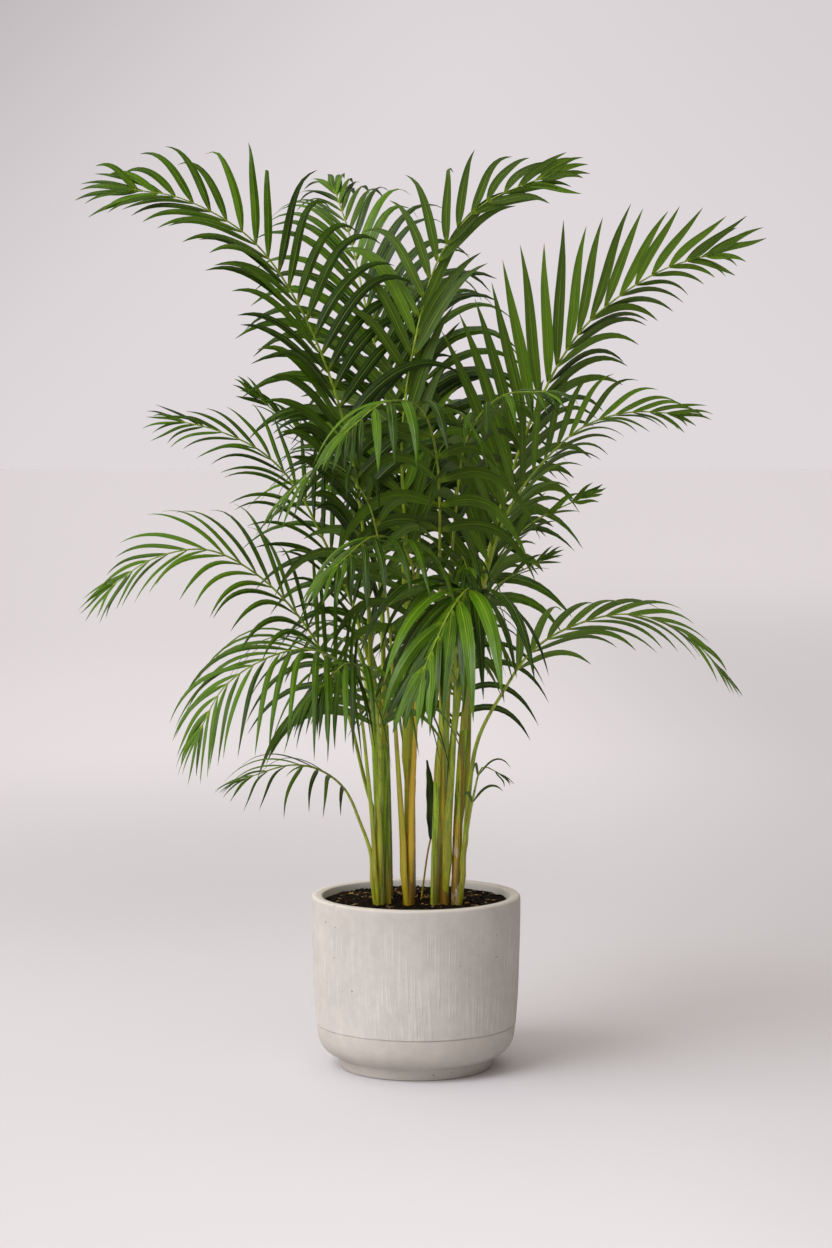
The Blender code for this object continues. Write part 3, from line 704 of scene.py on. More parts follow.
FRONDS = [
    Frond("frond_top_left", "cane_left_front", None,
          [(-0.063, -0.045, 0.46), (-0.088, -0.055, 0.59), (-0.133, -0.07, 0.705), (-0.19, -0.10, 0.785),
           (-0.265, -0.12, 0.828), (-0.32, -0.13, 0.838)],
          -60, 0.28, 26, (0.18, 0.20), 1.1, ((58, 40), (46, 16)), (20, 22), (1.0, 0.7)),
    Frond("frond_mid_left", "cane_left_rear", 0.060,
          [(-0.060, -0.028, 0.15), (-0.080, -0.05, 0.235), (-0.10, -0.075, 0.29), (-0.135, -0.09, 0.35),
           (-0.185, -0.11, 0.402), (-0.24, -0.13, 0.430), (-0.30, -0.145, 0.42), (-0.345, -0.15, 0.39)],
          -35, 0.36, 17, (0.145, 0.15), 0.95, ((44, 16), (45, 16)), (15, 10), (0.9, 1.2)),
    Frond("frond_low_left", "cane_left_front", 0.035,
          [(-0.066, -0.044, 0.105), (-0.083, -0.060, 0.145), (-0.110, -0.082, 0.170), (-0.145, -0.11, 0.18),
           (-0.195, -0.135, 0.168)],
          -15, 0.46, 7, (0.11, 0.11), 0.75, ((50, 20), (50, 20)), (5, 5), (1.3, 1.6)),
    Frond("frond_low_arching", "cane_left_front", 0.050,
          [(-0.056, -0.056, 0.16), (-0.068, -0.08, 0.255), (-0.088, -0.115, 0.30), (-0.125, -0.155, 0.318),
           (-0.17, -0.19, 0.31), (-0.215, -0.215, 0.28), (-0.24, -0.23, 0.235)],
          -10, 0.44, 16, (0.165, 0.185), 0.95, ((52, 20), (52, 20)), (25, 0), (2.0, 2.4)),
    Frond("frond_upper_mid_left", "cane_left_rear", None,
          [(-0.076, 0.0, 0.36), (-0.107, 0.0, 0.43), (-0.144, 0.0, 0.50), (-0.183, -0.01, 0.54),
           (-0.235, -0.02, 0.565), (-0.275, -0.03, 0.575)],
          -60, 0.26, 17, (0.125, 0.14), 0.85, ((36, 14), (40, 16)), (10, 18), (0.6, 0.9)),
    Frond("frond_inner_left", "cane_left_front", 0.080,
          [(-0.042, -0.066, 0.19), (-0.052, -0.10, 0.27), (-0.076, -0.15, 0.302), (-0.106, -0.20, 0.28)],
          0, 0.44, 12, (0.20, 0.20), 1.0, ((46, 18), (46, 18)), (0, 0), (2.8, 2.8)),
    Frond("frond_top_middle", "cane_centre", None,
          [(-0.012, -0.03, 0.42), (-0.016, -0.02, 0.56), (-0.001, -0.01, 0.67), (0.029, 0.0, 0.77),
           (0.075, -0.01, 0.826), (0.15, -0.03, 0.86)],
          -75, 0.32, 23, (0.158, 0.16), 1.1, ((50, 26), (22, 8)), (16, 5), (0.9, 0.6)),
    Frond("frond_front_middle", "cane_centre", 0.075,
          [(0.002, -0.085, 0.34), (-0.009, -0.15, 0.425), (-0.045, -0.225, 0.45), (-0.088, -0.30, 0.42)],
          0, 0.44, 12, (0.175, 0.175), 1.1, ((60, 25), (60, 25)), (0, 0), (2.4, 2.4)),
    Frond("frond_core_left", "cane_centre", 0.045,
          [(-0.024, -0.06, 0.22), (-0.034, -0.09, 0.37), (-0.058, -0.12, 0.49), (-0.10, -0.15, 0.53),
           (-0.14, -0.17, 0.50)],
          0, 0.45, 11, (0.17, 0.17), 1.1, ((55, 20), (55, 20)), (0, 10), (2.2, 1.8)),
    Frond("frond_front_low", "cane_slim", None,
          [(0.040, -0.08, 0.29), (0.062, -0.14, 0.365), (0.060, -0.20, 0.39), (0.038, -0.27, 0.37),
           (0.008, -0.325, 0.31)],
          0, 0.50, 12, (0.215, 0.20), 1.35, ((36, 14), (26, 12)), (0, 0), (2.4, 2.4)),
    Frond("frond_front_upper", "cane_right", 0.120,
          [(0.028, -0.075, 0.40), (0.023, -0.12, 0.54), (0.004, -0.17, 0.592), (-0.034, -0.23, 0.598),
           (-0.077, -0.30, 0.565)],
          0, 0.50, 12, (0.175, 0.175), 1.1, ((60, 25), (60, 25)), (5, 5), (2.6, 2.6)),
    Frond("frond_right_inner", "cane_right", None,
          [(0.045, -0.06, 0.46), (0.060, -0.10, 0.56), (0.095, -0.15, 0.604), (0.145, -0.21, 0.61)],
          15, 0.48, 9, (0.135, 0.135), 1.1, ((45, 20), (45, 20)), (5, 10), (1.8, 1.8)),
    Frond("frond_right_arching", "cane_right_outer", 0.080,
          [(0.072, -0.045, 0.20), (0.102, -0.055, 0.26), (0.135, -0.065, 0.308), (0.18, -0.08, 0.338),
           (0.243, -0.10, 0.354), (0.305, -0.12, 0.336), (0.350, -0.13, 0.292)],
          -25, 0.44, 12, (0.115, 0.115), 1.0, ((34, 10), (34, 12)), (16, 0), (0.9, 1.1)),
    Frond("frond_right_sprig", "cane_right_outer", 0.040,
          [(0.068, -0.055, 0.14), (0.078, -0.065, 0.172), (0.098, -0.08, 0.166)],
          0, 0.55, 3, (0.06, 0.06), 0.7, ((34, 20), (34, 20)), (0, 0), (1.6, 1.6)),
    Frond("frond_right_low", "cane_right_outer", 0.150,
          [(0.068, -0.015, 0.30), (0.09, -0.02, 0.375), (0.15, -0.05, 0.415)],
          -50, 0.45, 5, (0.085, 0.07), 0.7, ((28, 14), (20, 10)), (10, 40), (0.6, 0.6)),
    Frond("frond_right_middle", "cane_right_outer", None,
          [(0.080, -0.045, 0.385), (0.107, -0.05, 0.47), (0.152, -0.06, 0.533), (0.197, -0.07, 0.571),
           (0.247, -0.08, 0.586), (0.295, -0.08, 0.585)],
          -60, 0.32, 18, (0.14, 0.10), 0.9, ((44, 20), (28, 12)), (8, 34), (0.8, 1.1)),
    Frond("frond_core_right", "cane_right", 0.060,
          [(0.044, -0.058, 0.20), (0.047, -0.08, 0.34), (0.052, -0.12, 0.42), (0.058, -0.17, 0.41)],
          0, 0.48, 9, (0.16, 0.13), 1.1, ((36, 16), (22, 12)), (0, 0), (3.0, 3.0)),
    Frond("frond_top_right", "cane_back_right", None,
          [(0.074, 0.02, 0.37), (0.106, 0.02, 0.49), (0.144, 0.0, 0.595), (0.19, -0.02, 0.677),
           (0.236, -0.03, 0.72), (0.289, -0.05, 0.752), (0.34, -0.065, 0.768)],
          -62, 0.26, 23, (0.20, 0.13), 1.1, ((42, 24), (34, 16)), (6, 36), (0.25, 1.2)),
    Frond("frond_right_young", "cane_back_right", 0.150,
          [(0.068, 0.035, 0.335), (0.097, 0.04, 0.41), (0.136, 0.03, 0.452), (0.20, 0.01, 0.486)],
          -60, 0.40, 6, (0.085, 0.07), 0.75, ((24, 12), (18, 10)), (5, 40), (0.5, 0.5)),
    Frond("frond_upper_left_young", "cane_back_left", None,
          [(-0.045, 0.05, 0.41), (-0.065, 0.06, 0.47), (-0.097, 0.06, 0.515), (-0.135, 0.055, 0.555),
           (-0.19, 0.04, 0.605)],
          -50, 0.30, 9, (0.10, 0.10), 0.8, ((32, 14), (28, 12)), (20, 35), (0.6, 0.6)),
    Frond("frond_crown", "cane_back_centre", None,
          [(-0.017, 0.05, 0.43), (-0.031, 0.07, 0.575), (-0.058, 0.10, 0.70), (-0.081, 0.15, 0.80),
           (-0.101, 0.23, 0.86)],
          -20, 0.32, 22, (0.21, 0.21), 1.2, ((46, 24), (42, 24)), (30, 30), (1.2, 1.2)),
    Frond("frond_back_left", "cane_back_left", 0.110,
          [(-0.045, 0.09, 0.39), (-0.062, 0.17, 0.50), (-0.085, 0.26, 0.55), (-0.10, 0.345, 0.51)],
          0, 0.34, 14, (0.18, 0.18), 1.0, ((58, 22), (58, 22)), (15, 15), (1.6, 1.6)),
    Frond("frond_back_low_left", "cane_back_left", 0.050,
          [(-0.058, 0.062, 0.24), (-0.074, 0.12, 0.31), (-0.084, 0.19, 0.325), (-0.089, 0.27, 0.265)],
          0, 0.36, 12, (0.18, 0.18), 1.0, ((58, 22), (58, 22)), (10, 10), (2.2, 2.2)),
    Frond("frond_back_top", "cane_back_centre", 0.140,
          [(0.006, 0.08, 0.50), (0.010, 0.16, 0.66), (0.005, 0.24, 0.745), (-0.005, 0.34, 0.745)],
          5, 0.36, 16, (0.19, 0.19), 1.05, ((58, 24), (58, 24)), (20, 20), (1.5, 1.5)),
    Frond("frond_back_right", "cane_back_right", 0.100,
          [(0.045, 0.085, 0.40), (0.052, 0.17, 0.53), (0.065, 0.27, 0.60), (0.082, 0.36, 0.55)],
          0, 0.34, 14, (0.18, 0.18), 1.0, ((58, 22), (58, 22)), (15, 15), (1.6, 1.6)),
    Frond("frond_back_low_right", "cane_back_right", 0.045,
          [(0.048, 0.075, 0.24), (0.058, 0.14, 0.32), (0.066, 0.22, 0.34), (0.072, 0.30, 0.28)],
          0, 0.36, 12, (0.14, 0.18), 1.0, ((58, 22), (58, 22)), (10, 10), (2.2, 2.2)),
]
SPEAR = [
    (0.006, -0.008, 0.0), (0.014, -0.009, 0.060), (0.019, -0.010, 0.085), (0.020, -0.010, 0.112),
    (0.017, -0.010, 0.140), (0.012, -0.010, 0.178),
]

# How golden a frond's stalk is, and how far its leaflets lean to the fresh green. Others take the defaults.
GOLDEN = {"frond_front_middle": 0.95, "frond_core_left": 0.4, "frond_front_upper": 0.45, "frond_right_inner": 0.3}
FRESH = {
    "frond_right_arching": 0.30, "frond_low_left": 0.1, "frond_mid_left": 0.2, "frond_right_middle": 0.15,
    "frond_top_right": 0.05, "frond_low_arching": 0.15, "frond_core_left": -0.25, "frond_core_right": -0.25,
    "frond_front_low": -0.12, "frond_top_left": -0.05, "frond_back_low_left": -0.2, "frond_back_low_right": -0.2,
    "frond_inner_left": -0.1}


def catmull_rom(points: list[Vector], samples: int) -> list[Vector]:
    """A smooth line through points, on centripetal Catmull-Rom spans.

    Args:
        points: The points it passes through.
        samples: How many points each span gives.

    Returns:
        The line's points, with the last given point at its end.
    """
    points = [2 * points[0] - points[1], *points, 2 * points[-1] - points[-2]]
    line = []
    for i in range(len(points) - 3):
        four = points[i:i + 4]
        knots = [0.0]
        for a, b in zip(four, four[1:]):
            knots.append(knots[-1] + math.sqrt((b - a).length))
        for k in range(samples):
            t = knots[1] + (knots[2] - knots[1]) * k / samples
            first = [four[j].lerp(four[j + 1], (t - knots[j]) / (knots[j + 1] - knots[j])) for j in range(3)]
            second = [first[j].lerp(first[j + 1], (t - knots[j]) / (knots[j + 2] - knots[j])) for j in range(2)]
            line.append(second[0].lerp(second[1], (t - knots[1]) / (knots[2] - knots[1])))
    return line + [points[-2]]


class Spine:
    """A frond's smooth midline, with a frame at each share of its length: along, up and side."""

    def __init__(self, points: list[Vector], roll_deg: float) -> None:
        """Draws the line and measures it.

        Args:
            points: The points the line passes through, from the cane outwards.
            roll_deg: How far the blade is turned about the line.
        """
        self.line = catmull_rom(points, SPINE_SAMPLES)
        self.roll = math.radians(roll_deg)
        run = points[-1] - points[len(points) // 2]
        self.outward = Vector((run.x, run.y, 0)).normalized()
        self.at = [0.0]
        for a, b in zip(self.line, self.line[1:]):
            self.at.append(self.at[-1] + (b - a).length)
        self.length = self.at[-1]

    @classmethod
    def of(cls, frond: Frond) -> "Spine":
        """The spine of a frond: from its cane, along it for a little, and then through its own points.

        Args:
            frond: The frond's growth values.

        Returns:
            The spine.
        """
        cane = next(c for c in CANES if c.name == frond.cane)
        first = Vector((frond.via[0][0], frond.via[0][1], 0))
        if frond.parts is None:
            start = cane.axis(cane.height) + Vector((0, 0, 2 * FIT_GAP))
            points = [start, start + cane.axis(cane.height) - cane.axis(cane.height - HUG_LENGTH)]
        else:
            away = (first - Vector((cane.x, cane.y, 0))).normalized()
            away = away * (cane.thickness(frond.parts) + PETIOLE_RADIUS + 2 * FIT_GAP)
            step = away.normalized() * CLEARANCE
            points = [cane.axis(frond.parts) + away, cane.axis(frond.parts + HUG_LENGTH) + away + step]
        points += [Vector((x, y, SOIL_TOP + z)) for x, y, z in frond.via]
        return cls(points, frond.roll)

    def _index(self, share: float) -> tuple[int, float]:
        """Finds a place on the line.

        Args:
            share: The share of the length.

        Returns:
            The span that holds it, and how far along that span it is.
        """
        want = min(max(share, 0.0), 1.0) * self.length
        i = next((k for k in range(len(self.at) - 2) if self.at[k + 1] >= want), len(self.at) - 2)
        return i, (want - self.at[i]) / (self.at[i + 1] - self.at[i])

    def point(self, share: float) -> Vector:
        """The point at a share of the length."""
        i, part = self._index(share)
        return self.line[i].lerp(self.line[i + 1], part)

    def frame(self, share: float) -> tuple[Vector, Vector, Vector]:
        """The line's own axes at a place.

        Args:
            share: The share of the length.

        Returns:
            The along, up and side unit vectors.
        """
        i, part = self._index(share)
        here = self.line[i + 1] - self.line[i]
        after = self.line[min(i + 2, len(self.line) - 1)] - self.line[min(i + 1, len(self.line) - 2)]
        along = here.normalized().lerp(after.normalized(), part).normalized()
        up = Vector((0, 0, along.dot(self.outward))) - self.outward * along.z
        up = (up - along * up.dot(along)).normalized()
        up = Matrix.Rotation(self.roll, 3, along) @ up
        return along, up, along.cross(up)


def leaflet_length(reach: float, along: float) -> float:
    """A leaflet's length: it swells to the longest along the blade, then falls away to the tip.

    Args:
        reach: The longest leaflet's length.
        along: The leaflet's share along the blade.

    Returns:
        Its length.
    """
    if along < LONGEST_AT:
        return reach * (FIRST_LENGTH + (1 - FIRST_LENGTH) * math.sin(0.5 * math.pi * along / LONGEST_AT))
    past = (along - LONGEST_AT) / (1 - LONGEST_AT)
    return reach * (1 - (1 - LAST_LENGTH) * past ** 1.5)


@dataclass
class LeafletLine:
    """Where one leaflet lies: its midline, the direction across it at each point, its width and its side."""

    path: list[Vector]
    widths: list[Vector]
    broad: float
    side: Side
    seed: str


class LeafletGrower:
    """Works out a frond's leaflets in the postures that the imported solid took."""

    MATCH = 0.0004

    def __init__(self, frond: Frond, node: bpy.types.Object) -> None:
        """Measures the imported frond.

        Args:
            frond: The frond's growth values.
            node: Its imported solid.
        """
        self.frond = frond
        self.spine = Spine.of(frond)
        points = node.data.vertices
        self.tips = KDTree(len(points))
        for index, point in enumerate(points):
            self.tips.insert(point.co, index)
        self.tips.balance()

    def shares(self) -> list[float]:
        """The share of the spine at the middle of each pair of leaflets.

        Returns:
            One share for each pair, from the lowest up.
        """
        last = 1 - LEAFLET_FOOT / self.spine.length
        steps = self.frond.pairs - 1
        return [self.frond.blade + (last - self.frond.blade) * k / steps for k in range(self.frond.pairs)]

    def _ring(self, share: float) -> list[Vector]:
        """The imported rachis's three corners.

        Args:
            share: The share of the spine.

        Returns:
            The corners: near, under and far.
        """
        radius = PETIOLE_RADIUS + (RACHIS_TIP_RADIUS - PETIOLE_RADIUS) * share
        centre = self.spine.point(share)
        _, up, side = self.spine.frame(share)
        turns = [math.radians(turn) for turn in (30, -90, -210)]
        return [centre + radius * (side * math.cos(turn) + up * math.sin(turn)) for turn in turns]

    def _foot(self, share: float, side: Side) -> Vector:
        """The middle of the face that a leaflet grows from.

        Args:
            share: The share of the spine.
            side: The side of the blade.

        Returns:
            The point.
        """
        half = 0.5 * LEAFLET_FOOT / self.spine.length
        near, far = self._ring(share - half), self._ring(share + half)
        corner = 0 if side is Side.NEAR else 2
        return (near[corner] + near[1] + far[1] + far[corner]) / 4

    @staticmethod
    def _walk(foot: Vector, across: Vector, heading: Vector, length: float, droop: float) -> Vectors:
        """A leaflet's way from its foot, bending down more and more.

        Args:
            foot: Where it starts.
            across: The direction across it there.
            heading: The direction it sets off in.
            length: Its length.
            droop: How far its heading sinks by its tip.

        Returns:
            Its points, and the direction across it at each.
        """
        path, widths = [foot], [across]
        for step in range(1, LEAFLET_STEPS + 1):
            pull = droop * (step / LEAFLET_STEPS) ** CURL_POWER
            going = (heading + Vector((0, 0, -pull))).normalized()
            path.append(path[-1] + going * length / LEAFLET_STEPS)
            widths.append((widths[-1] - going * widths[-1].dot(going)).normalized())
        return path, widths

    def _line(self, share: float, side: Side, posture: tuple[float, float, float]) -> LeafletLine:
        """A leaflet's line in one of its postures.

        Args:
            share: Where along the spine it grows.
            side: Which side of the blade it is on.
            posture: Its length factor, and its shifts of rise and fan in degrees.

        Returns:
            The line.
        """
        frond = self.frond
        shorter, rise_shift, fan_shift = posture
        along_blade = (share - frond.blade) / (1 - frond.blade)
        seed = f"{frond.name} {side.sign} {round(along_blade * frond.pairs * 10)}"
        chance = random.Random(seed)
        fan_first, fan_last = frond.fan[side.pick]
        fan = fan_first + (fan_last - fan_first) * along_blade ** FAN_POWER
        fan = math.radians(fan + fan_shift + chance.uniform(-JITTER_FAN_DEG, JITTER_FAN_DEG))
        rise = math.radians(
            frond.rise[side.pick] + rise_shift + chance.uniform(-JITTER_RISE_DEG, JITTER_RISE_DEG))
        length = leaflet_length(frond.reach[side.pick], along_blade) * shorter * chance.uniform(*JITTER_LENGTH)
        droop = frond.droop[side.pick] * chance.uniform(*JITTER_DROOP)

        along, up, across_blade = self.spine.frame(share)
        outward = across_blade * side.sign * math.cos(rise) + up * math.sin(rise)
        heading = along * math.cos(fan) + outward * math.sin(fan)
        across = (along - heading * along.dot(heading)).normalized()
        path, widths = self._walk(self._foot(share, side), across, heading, length, droop)
        long_share = NARROWEST_FOR_LENGTH + (1 - NARROWEST_FOR_LENGTH) * length / frond.reach[side.pick]
        broad = LEAFLET_WIDTH * frond.broad * long_share * (1 - NARROWED_AT_TIP * along_blade)
        return LeafletLine(path, widths, broad, side, seed)

    def leaflets(self) -> list[LeafletLine]:
        """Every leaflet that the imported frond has, each in its posture there.

        Returns:
            The leaflets' lines, from the lowest pair up.
        """
        found = []
        for share in self.shares():
            for side in Side:
                for posture in POSTURES:
                    line = self._line(share, side, posture)
                    if self.tips.find(line.path[-1])[2] < self.MATCH:
                        found.append(line)
                        break
        return found + self.terminal()

    def terminal(self) -> list[LeafletLine]:
        """The last narrow leaflets, which run on past the end of the rachis.

        Returns:
            The leaflets' lines.
        """
        frond, spine = self.frond, self.spine
        made = []
        for share, angle, size in TERMINALS:
            side = Side.NEAR if angle > 0 else Side.FAR
            along, up, across_blade = spine.frame(share)
            turn = math.radians(angle)
            heading = along * math.cos(turn) + across_blade * math.sin(turn)
            length = frond.reach[side.pick] * size
            across = (along * -math.sin(turn) + across_blade * math.cos(turn)) * -side.sign
            droop = TERMINAL_DROOP * frond.droop[side.pick]
            path, widths = self._walk(spine.point(share), across, heading, length, droop)
            broad = LEAFLET_WIDTH * frond.broad * TERMINAL_WIDTH
            made.append(LeafletLine(path, widths, broad, side, f"{frond.name} end {angle}"))
        return made


# ---- mesh helpers ----


def finished(
        name: str, bm: BMesh, material: Material,
        sharp_deg: float | None = 40.0) -> bpy.types.Object:
    """Puts a bmesh in the scene as a smooth-shaded piece.

    Args:
        name: The piece's name.
        bm: Its mesh, which is freed.
        material: Its finish.
        sharp_deg: Edges that bend more than this stay crisp, or None where the mesh has its own crisp edges.

    Returns:
        The piece.
    """
    mesh = bpy.data.meshes.new(name)
    bm.to_mesh(mesh)
    bm.free()
    if sharp_deg is not None:
        mesh.shade_smooth()
        mesh.set_sharp_from_angle(angle=math.radians(sharp_deg))
    mesh.materials.append(material)
    piece = bpy.data.objects.new(name, mesh)
    bpy.context.scene.collection.objects.link(piece)
    return piece


def mounted(piece: bpy.types.Object, slot: str, *nodes: str) -> None:
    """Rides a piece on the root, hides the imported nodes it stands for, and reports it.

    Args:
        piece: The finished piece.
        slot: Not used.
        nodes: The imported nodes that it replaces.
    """
    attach(piece, "root")
    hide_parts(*nodes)
    log.info("%s: %d faces", piece.name, len(piece.data.polygons))


def swept(bm: BMesh, rings: Rings, sections: Values) -> None:
    """Draws a closed tube through rings and writes each ring's values on its vertices.

    Args:
        bm: The mesh it is added to.
        rings: The rings' corners, in one order.
        sections: For each ring, the values of its vertices by attribute name.
    """
    layers = {key: bm.verts.layers.float.get(key) or bm.verts.layers.float.new(key) for key in sections[0]}
    made = bmesh.ops.create_circle(bm, cap_ends=True, segments=len(rings[0]), radius=1.0)
    end = made["verts"][0].link_faces[0]
    start = list(made["verts"])
    for index, (ring, values) in enumerate(zip(rings, sections)):
        if index:
            end = bmesh.ops.extrude_discrete_faces(bm, faces=[end])["faces"][0]
        for vert, corner in zip(end.verts, ring):
            vert.co = corner
            for key, value in values.items():
                vert[layers[key]] = value
    open_edges = [edge for vert in start for edge in vert.link_edges if edge.is_boundary]
    bmesh.ops.holes_fill(bm, edges=list(set(open_edges)), sides=len(start))
    bmesh.ops.recalc_face_normals(bm, faces=bm.faces)


def turned(profile: list[Pair], sides: int) -> BMesh:
    """A solid of revolution about Z.

    Args:
        profile: Points as (radius, height), from the axis back to the axis.
        sides: How many steps go round.

    Returns:
        The closed mesh.
    """
    bm = bmesh.new()
    points = [bm.verts.new((radius, 0, height)) for radius, height in profile]
    edges = [bm.edges.new(pair) for pair in zip(points, points[1:])]
    bmesh.ops.spin(
        bm, geom=points + edges, axis=(0, 0, 1), cent=(0, 0, 0), angle=math.tau, steps=sides, use_merge=True)
    bmesh.ops.remove_doubles(bm, verts=bm.verts, dist=1e-6)
    bmesh.ops.recalc_face_normals(bm, faces=bm.faces)
    return bm


def along_table(table: list[Pair], at: float) -> float:
    """A value from a table, eased between its rows.

    Args:
        table: Rows of (place, value), in order of place.
        at: The place that is looked up.

    Returns:
        The value there.
    """
    for (a, low), (b, high) in zip(table, table[1:]):
        if at <= b:
            share = (at - a) / (b - a)
            return low + (high - low) * share * share * (3 - 2 * share)
    return table[-1][1]


def placed(
        name: str, data: bpy.types.ID, location: tuple[float, float, float] = (0.0, 0.0, 0.0),
        facing: tuple[float, float, float] = (0.0, 0.0, 0.0)) -> bpy.types.Object:
    """Puts a light or a camera in the scene.

    Args:
        name: Its name.
        data: The light's or camera's own settings.
        location: Its place.
        facing: Its Euler turn.

    Returns:
        The object.
    """
    holder = bpy.data.objects.new(name, data)
    holder.location = location
    holder.rotation_euler = facing
    bpy.context.scene.collection.objects.link(holder)
    return holder


# ---- pot ----


@dataclass
class Pot:
    """The cast pot: a short foot, a round shoulder, a groove, a slightly bellied wall and a flat eased rim."""

    rim_radius: float = 0.1249
    height: float = 0.207
    wall: float = 0.013
    floor: float = 0.018
    foot_radius: float = 0.094
    foot_height: float = 0.0145
    groove_height: float = 0.0530
    groove_depth: float = 0.0006
    sides: int = 160
    wobble: float = 0.00035

    def _outside(self) -> list[Pair]:
        """The outer profile, from the foot's underside to the rim.

        Returns:
            Each point's radius and height.
        """
        foot, low = self.foot_radius, self.foot_height
        groove, depth = self.groove_height, self.groove_depth
        rows = [
            (0.0, 0.0), (foot * 0.5, 0.0), (foot - 0.0065, 0.0), (foot - 0.0040, 0.0008), (foot - 0.0030, 0.0030),
            (foot - 0.0012, 0.0085), (foot - 0.0002, low - 0.0016), (foot + 0.0012, low - 0.0004),
            (0.0990, 0.0158), (0.1050, 0.0190), (0.1098, 0.0228), (0.1134, 0.0272), (0.1159, 0.0324),
            (0.1176, 0.0385), (0.1186, 0.0450), (0.1191, groove - 0.0022), (0.1192, groove - 0.0008),
            (0.1192 - depth, groove - 0.0002), (0.1193 - depth, groove + 0.0003), (0.1199, groove + 0.0009),
            (0.1201, groove + 0.0030)]
        top = self.height
        rows += [(0.1209, 0.066), (0.1220, 0.084), (0.1230, 0.106), (0.1237, 0.130), (0.1243, 0.155), (0.1247, 0.180)]
        rows += [(self.rim_radius, top - 0.010), (self.rim_radius, top - 0.0042)]
        rows += [(self.rim_radius - 0.0006, top - 0.0018), (self.rim_radius - 0.0020, top - 0.0004)]
        return rows

    def _inside(self) -> list[Pair]:
        """The inner profile, from the rim's top down to the floor's middle.

        Returns:
            Each point's radius and height.
        """
        inner, top = self.rim_radius - self.wall, self.height
        return [
            (self.rim_radius - 0.0040, top), (inner + 0.0030, top - 0.0002), (inner + 0.0010, top - 0.0014),
            (inner + 0.0002, top - 0.0036), (inner, top - 0.0080), (inner - 0.0020, top - 0.06),
            (inner - 0.0060, self.floor + 0.006), (inner - 0.0120, self.floor), (0.0, self.floor)]

    def mesh(self) -> BMesh:
        """The pot turned from its profile and made a little uneven, as a cast pot is.

        Returns:
            The closed mesh.
        """
        bm = turned(self._outside() + self._inside(), self.sides)
        for vert in bm.verts:
            flat = Vector((vert.co.x, vert.co.y, 0))
            if flat.length < 0.05 or vert.co.z < 0.002:
                continue
            bend = noise.noise(Vector((vert.co.x * 14, vert.co.y * 14, vert.co.z * 9)))
            bend += 0.5 * noise.noise(Vector((vert.co.x * 45, vert.co.y * 45, vert.co.z * 30 + 7)))
            vert.co -= flat.normalized() * self.wobble * (0.7 + bend)
        return bm

    def build(self, stone: Material) -> None:
        """Makes the pot's piece in cast stone."""
        mounted(finished("cast_pot", self.mesh(), stone, 35.0), "pot", "pot")


# ---- soil ----


@dataclass
class Soil:
    """The compost: an uneven bed that fills the pot, with loose crumbs and woody bits on it."""

    radius: float = 0.1112
    bottom: float = 0.0184
    sides: int = 96
    rings: int = 26
    crumbs: int = 1500
    crumb_sizes: tuple[float, ...] = (0.0006, 0.0008, 0.0010, 0.0013, 0.0019)
    heaped: float = 0.0028
    lump: float = 0.0034
    lumps: tuple[tuple[float, float, float], ...] = ((28, 3.1, 0.6), (95, 8.4, 0.45), (300, 1.7, 0.30))

    def _level(self, x: float, y: float) -> float:
        """The height of the bed's surface.

        Args:
            x: The place across.
            y: The place in depth.

        Returns:
            The height over the floor.
        """
        out = math.hypot(x, y) / self.radius
        level = SOIL_TOP + self.heaped + SOIL_DOME * (1 - out * out)
        for scale, seed, share in self.lumps:
            level += noise.noise(Vector((x * scale, y * scale, seed))) * self.lump * share
        return level

    def bed(self) -> BMesh:
        """The closed bed of compost.

        Returns:
            The bed's mesh.
        """
        profile = [(0.0, self.bottom), (self.radius - 0.0125, self.bottom), (self.radius - 0.0072, self.bottom + 0.007)]
        profile += [(self.radius - 0.0020, 0.15), (self.radius, SOIL_TOP - 0.002)]
        profile += [(self.radius * (1 - k / self.rings), SOIL_TOP) for k in range(self.rings + 1)]
        bm = turned(profile, self.sides)
        for vert in bm.verts:
            if vert.co.z > SOIL_TOP - 0.0005:
                vert.co.z = self._level(vert.co.x, vert.co.y)
        tone = bm.verts.layers.float.new("tone")
        for vert in bm.verts:
            vert[tone] = 0.25
        return bm

    def litter(self) -> BMesh:
        """Loose crumbs and woody bits, each a small rough lump.

        Returns:
            One mesh of all the lumps.
        """
        chance = random.Random("crumbs")
        bm = bmesh.new()
        tone = bm.verts.layers.float.new("tone")
        for _ in range(self.crumbs):
            out, turn = self.radius * 0.97 * math.sqrt(chance.random()), chance.uniform(0, math.tau)
            x, y = out * math.cos(turn), out * math.sin(turn)
            size = chance.choice(self.crumb_sizes) * chance.uniform(0.8, 1.2)
            shade = chance.random()
            stretch = 2.6 if shade > 0.9 else 1.3
            made = bmesh.ops.create_icosphere(bm, subdivisions=1, radius=size)["verts"]
            for vert in made:
                vert.co *= chance.uniform(0.75, 1.2)
                vert[tone] = shade
            bmesh.ops.scale(bm, verts=made, vec=(stretch, 1.0, 0.6))
            bmesh.ops.rotate(bm, verts=made, matrix=Matrix.Rotation(chance.uniform(0, math.tau), 3, "Z"))
            bmesh.ops.rotate(bm, verts=made, matrix=Matrix.Rotation(chance.uniform(-0.4, 0.4), 3, "X"))
            bmesh.ops.translate(bm, verts=made, vec=(x, y, self._level(x, y) + 0.2 * size))
        return bm

    def build(self, compost: Material) -> None:
        """Makes the bed and its litter."""
        mounted(finished("compost_bed", self.bed(), compost, 60.0), "soil", "soil")
        mounted(finished("compost_crumbs", self.litter(), compost, 30.0), "soil", "soil")


# ---- canes ----


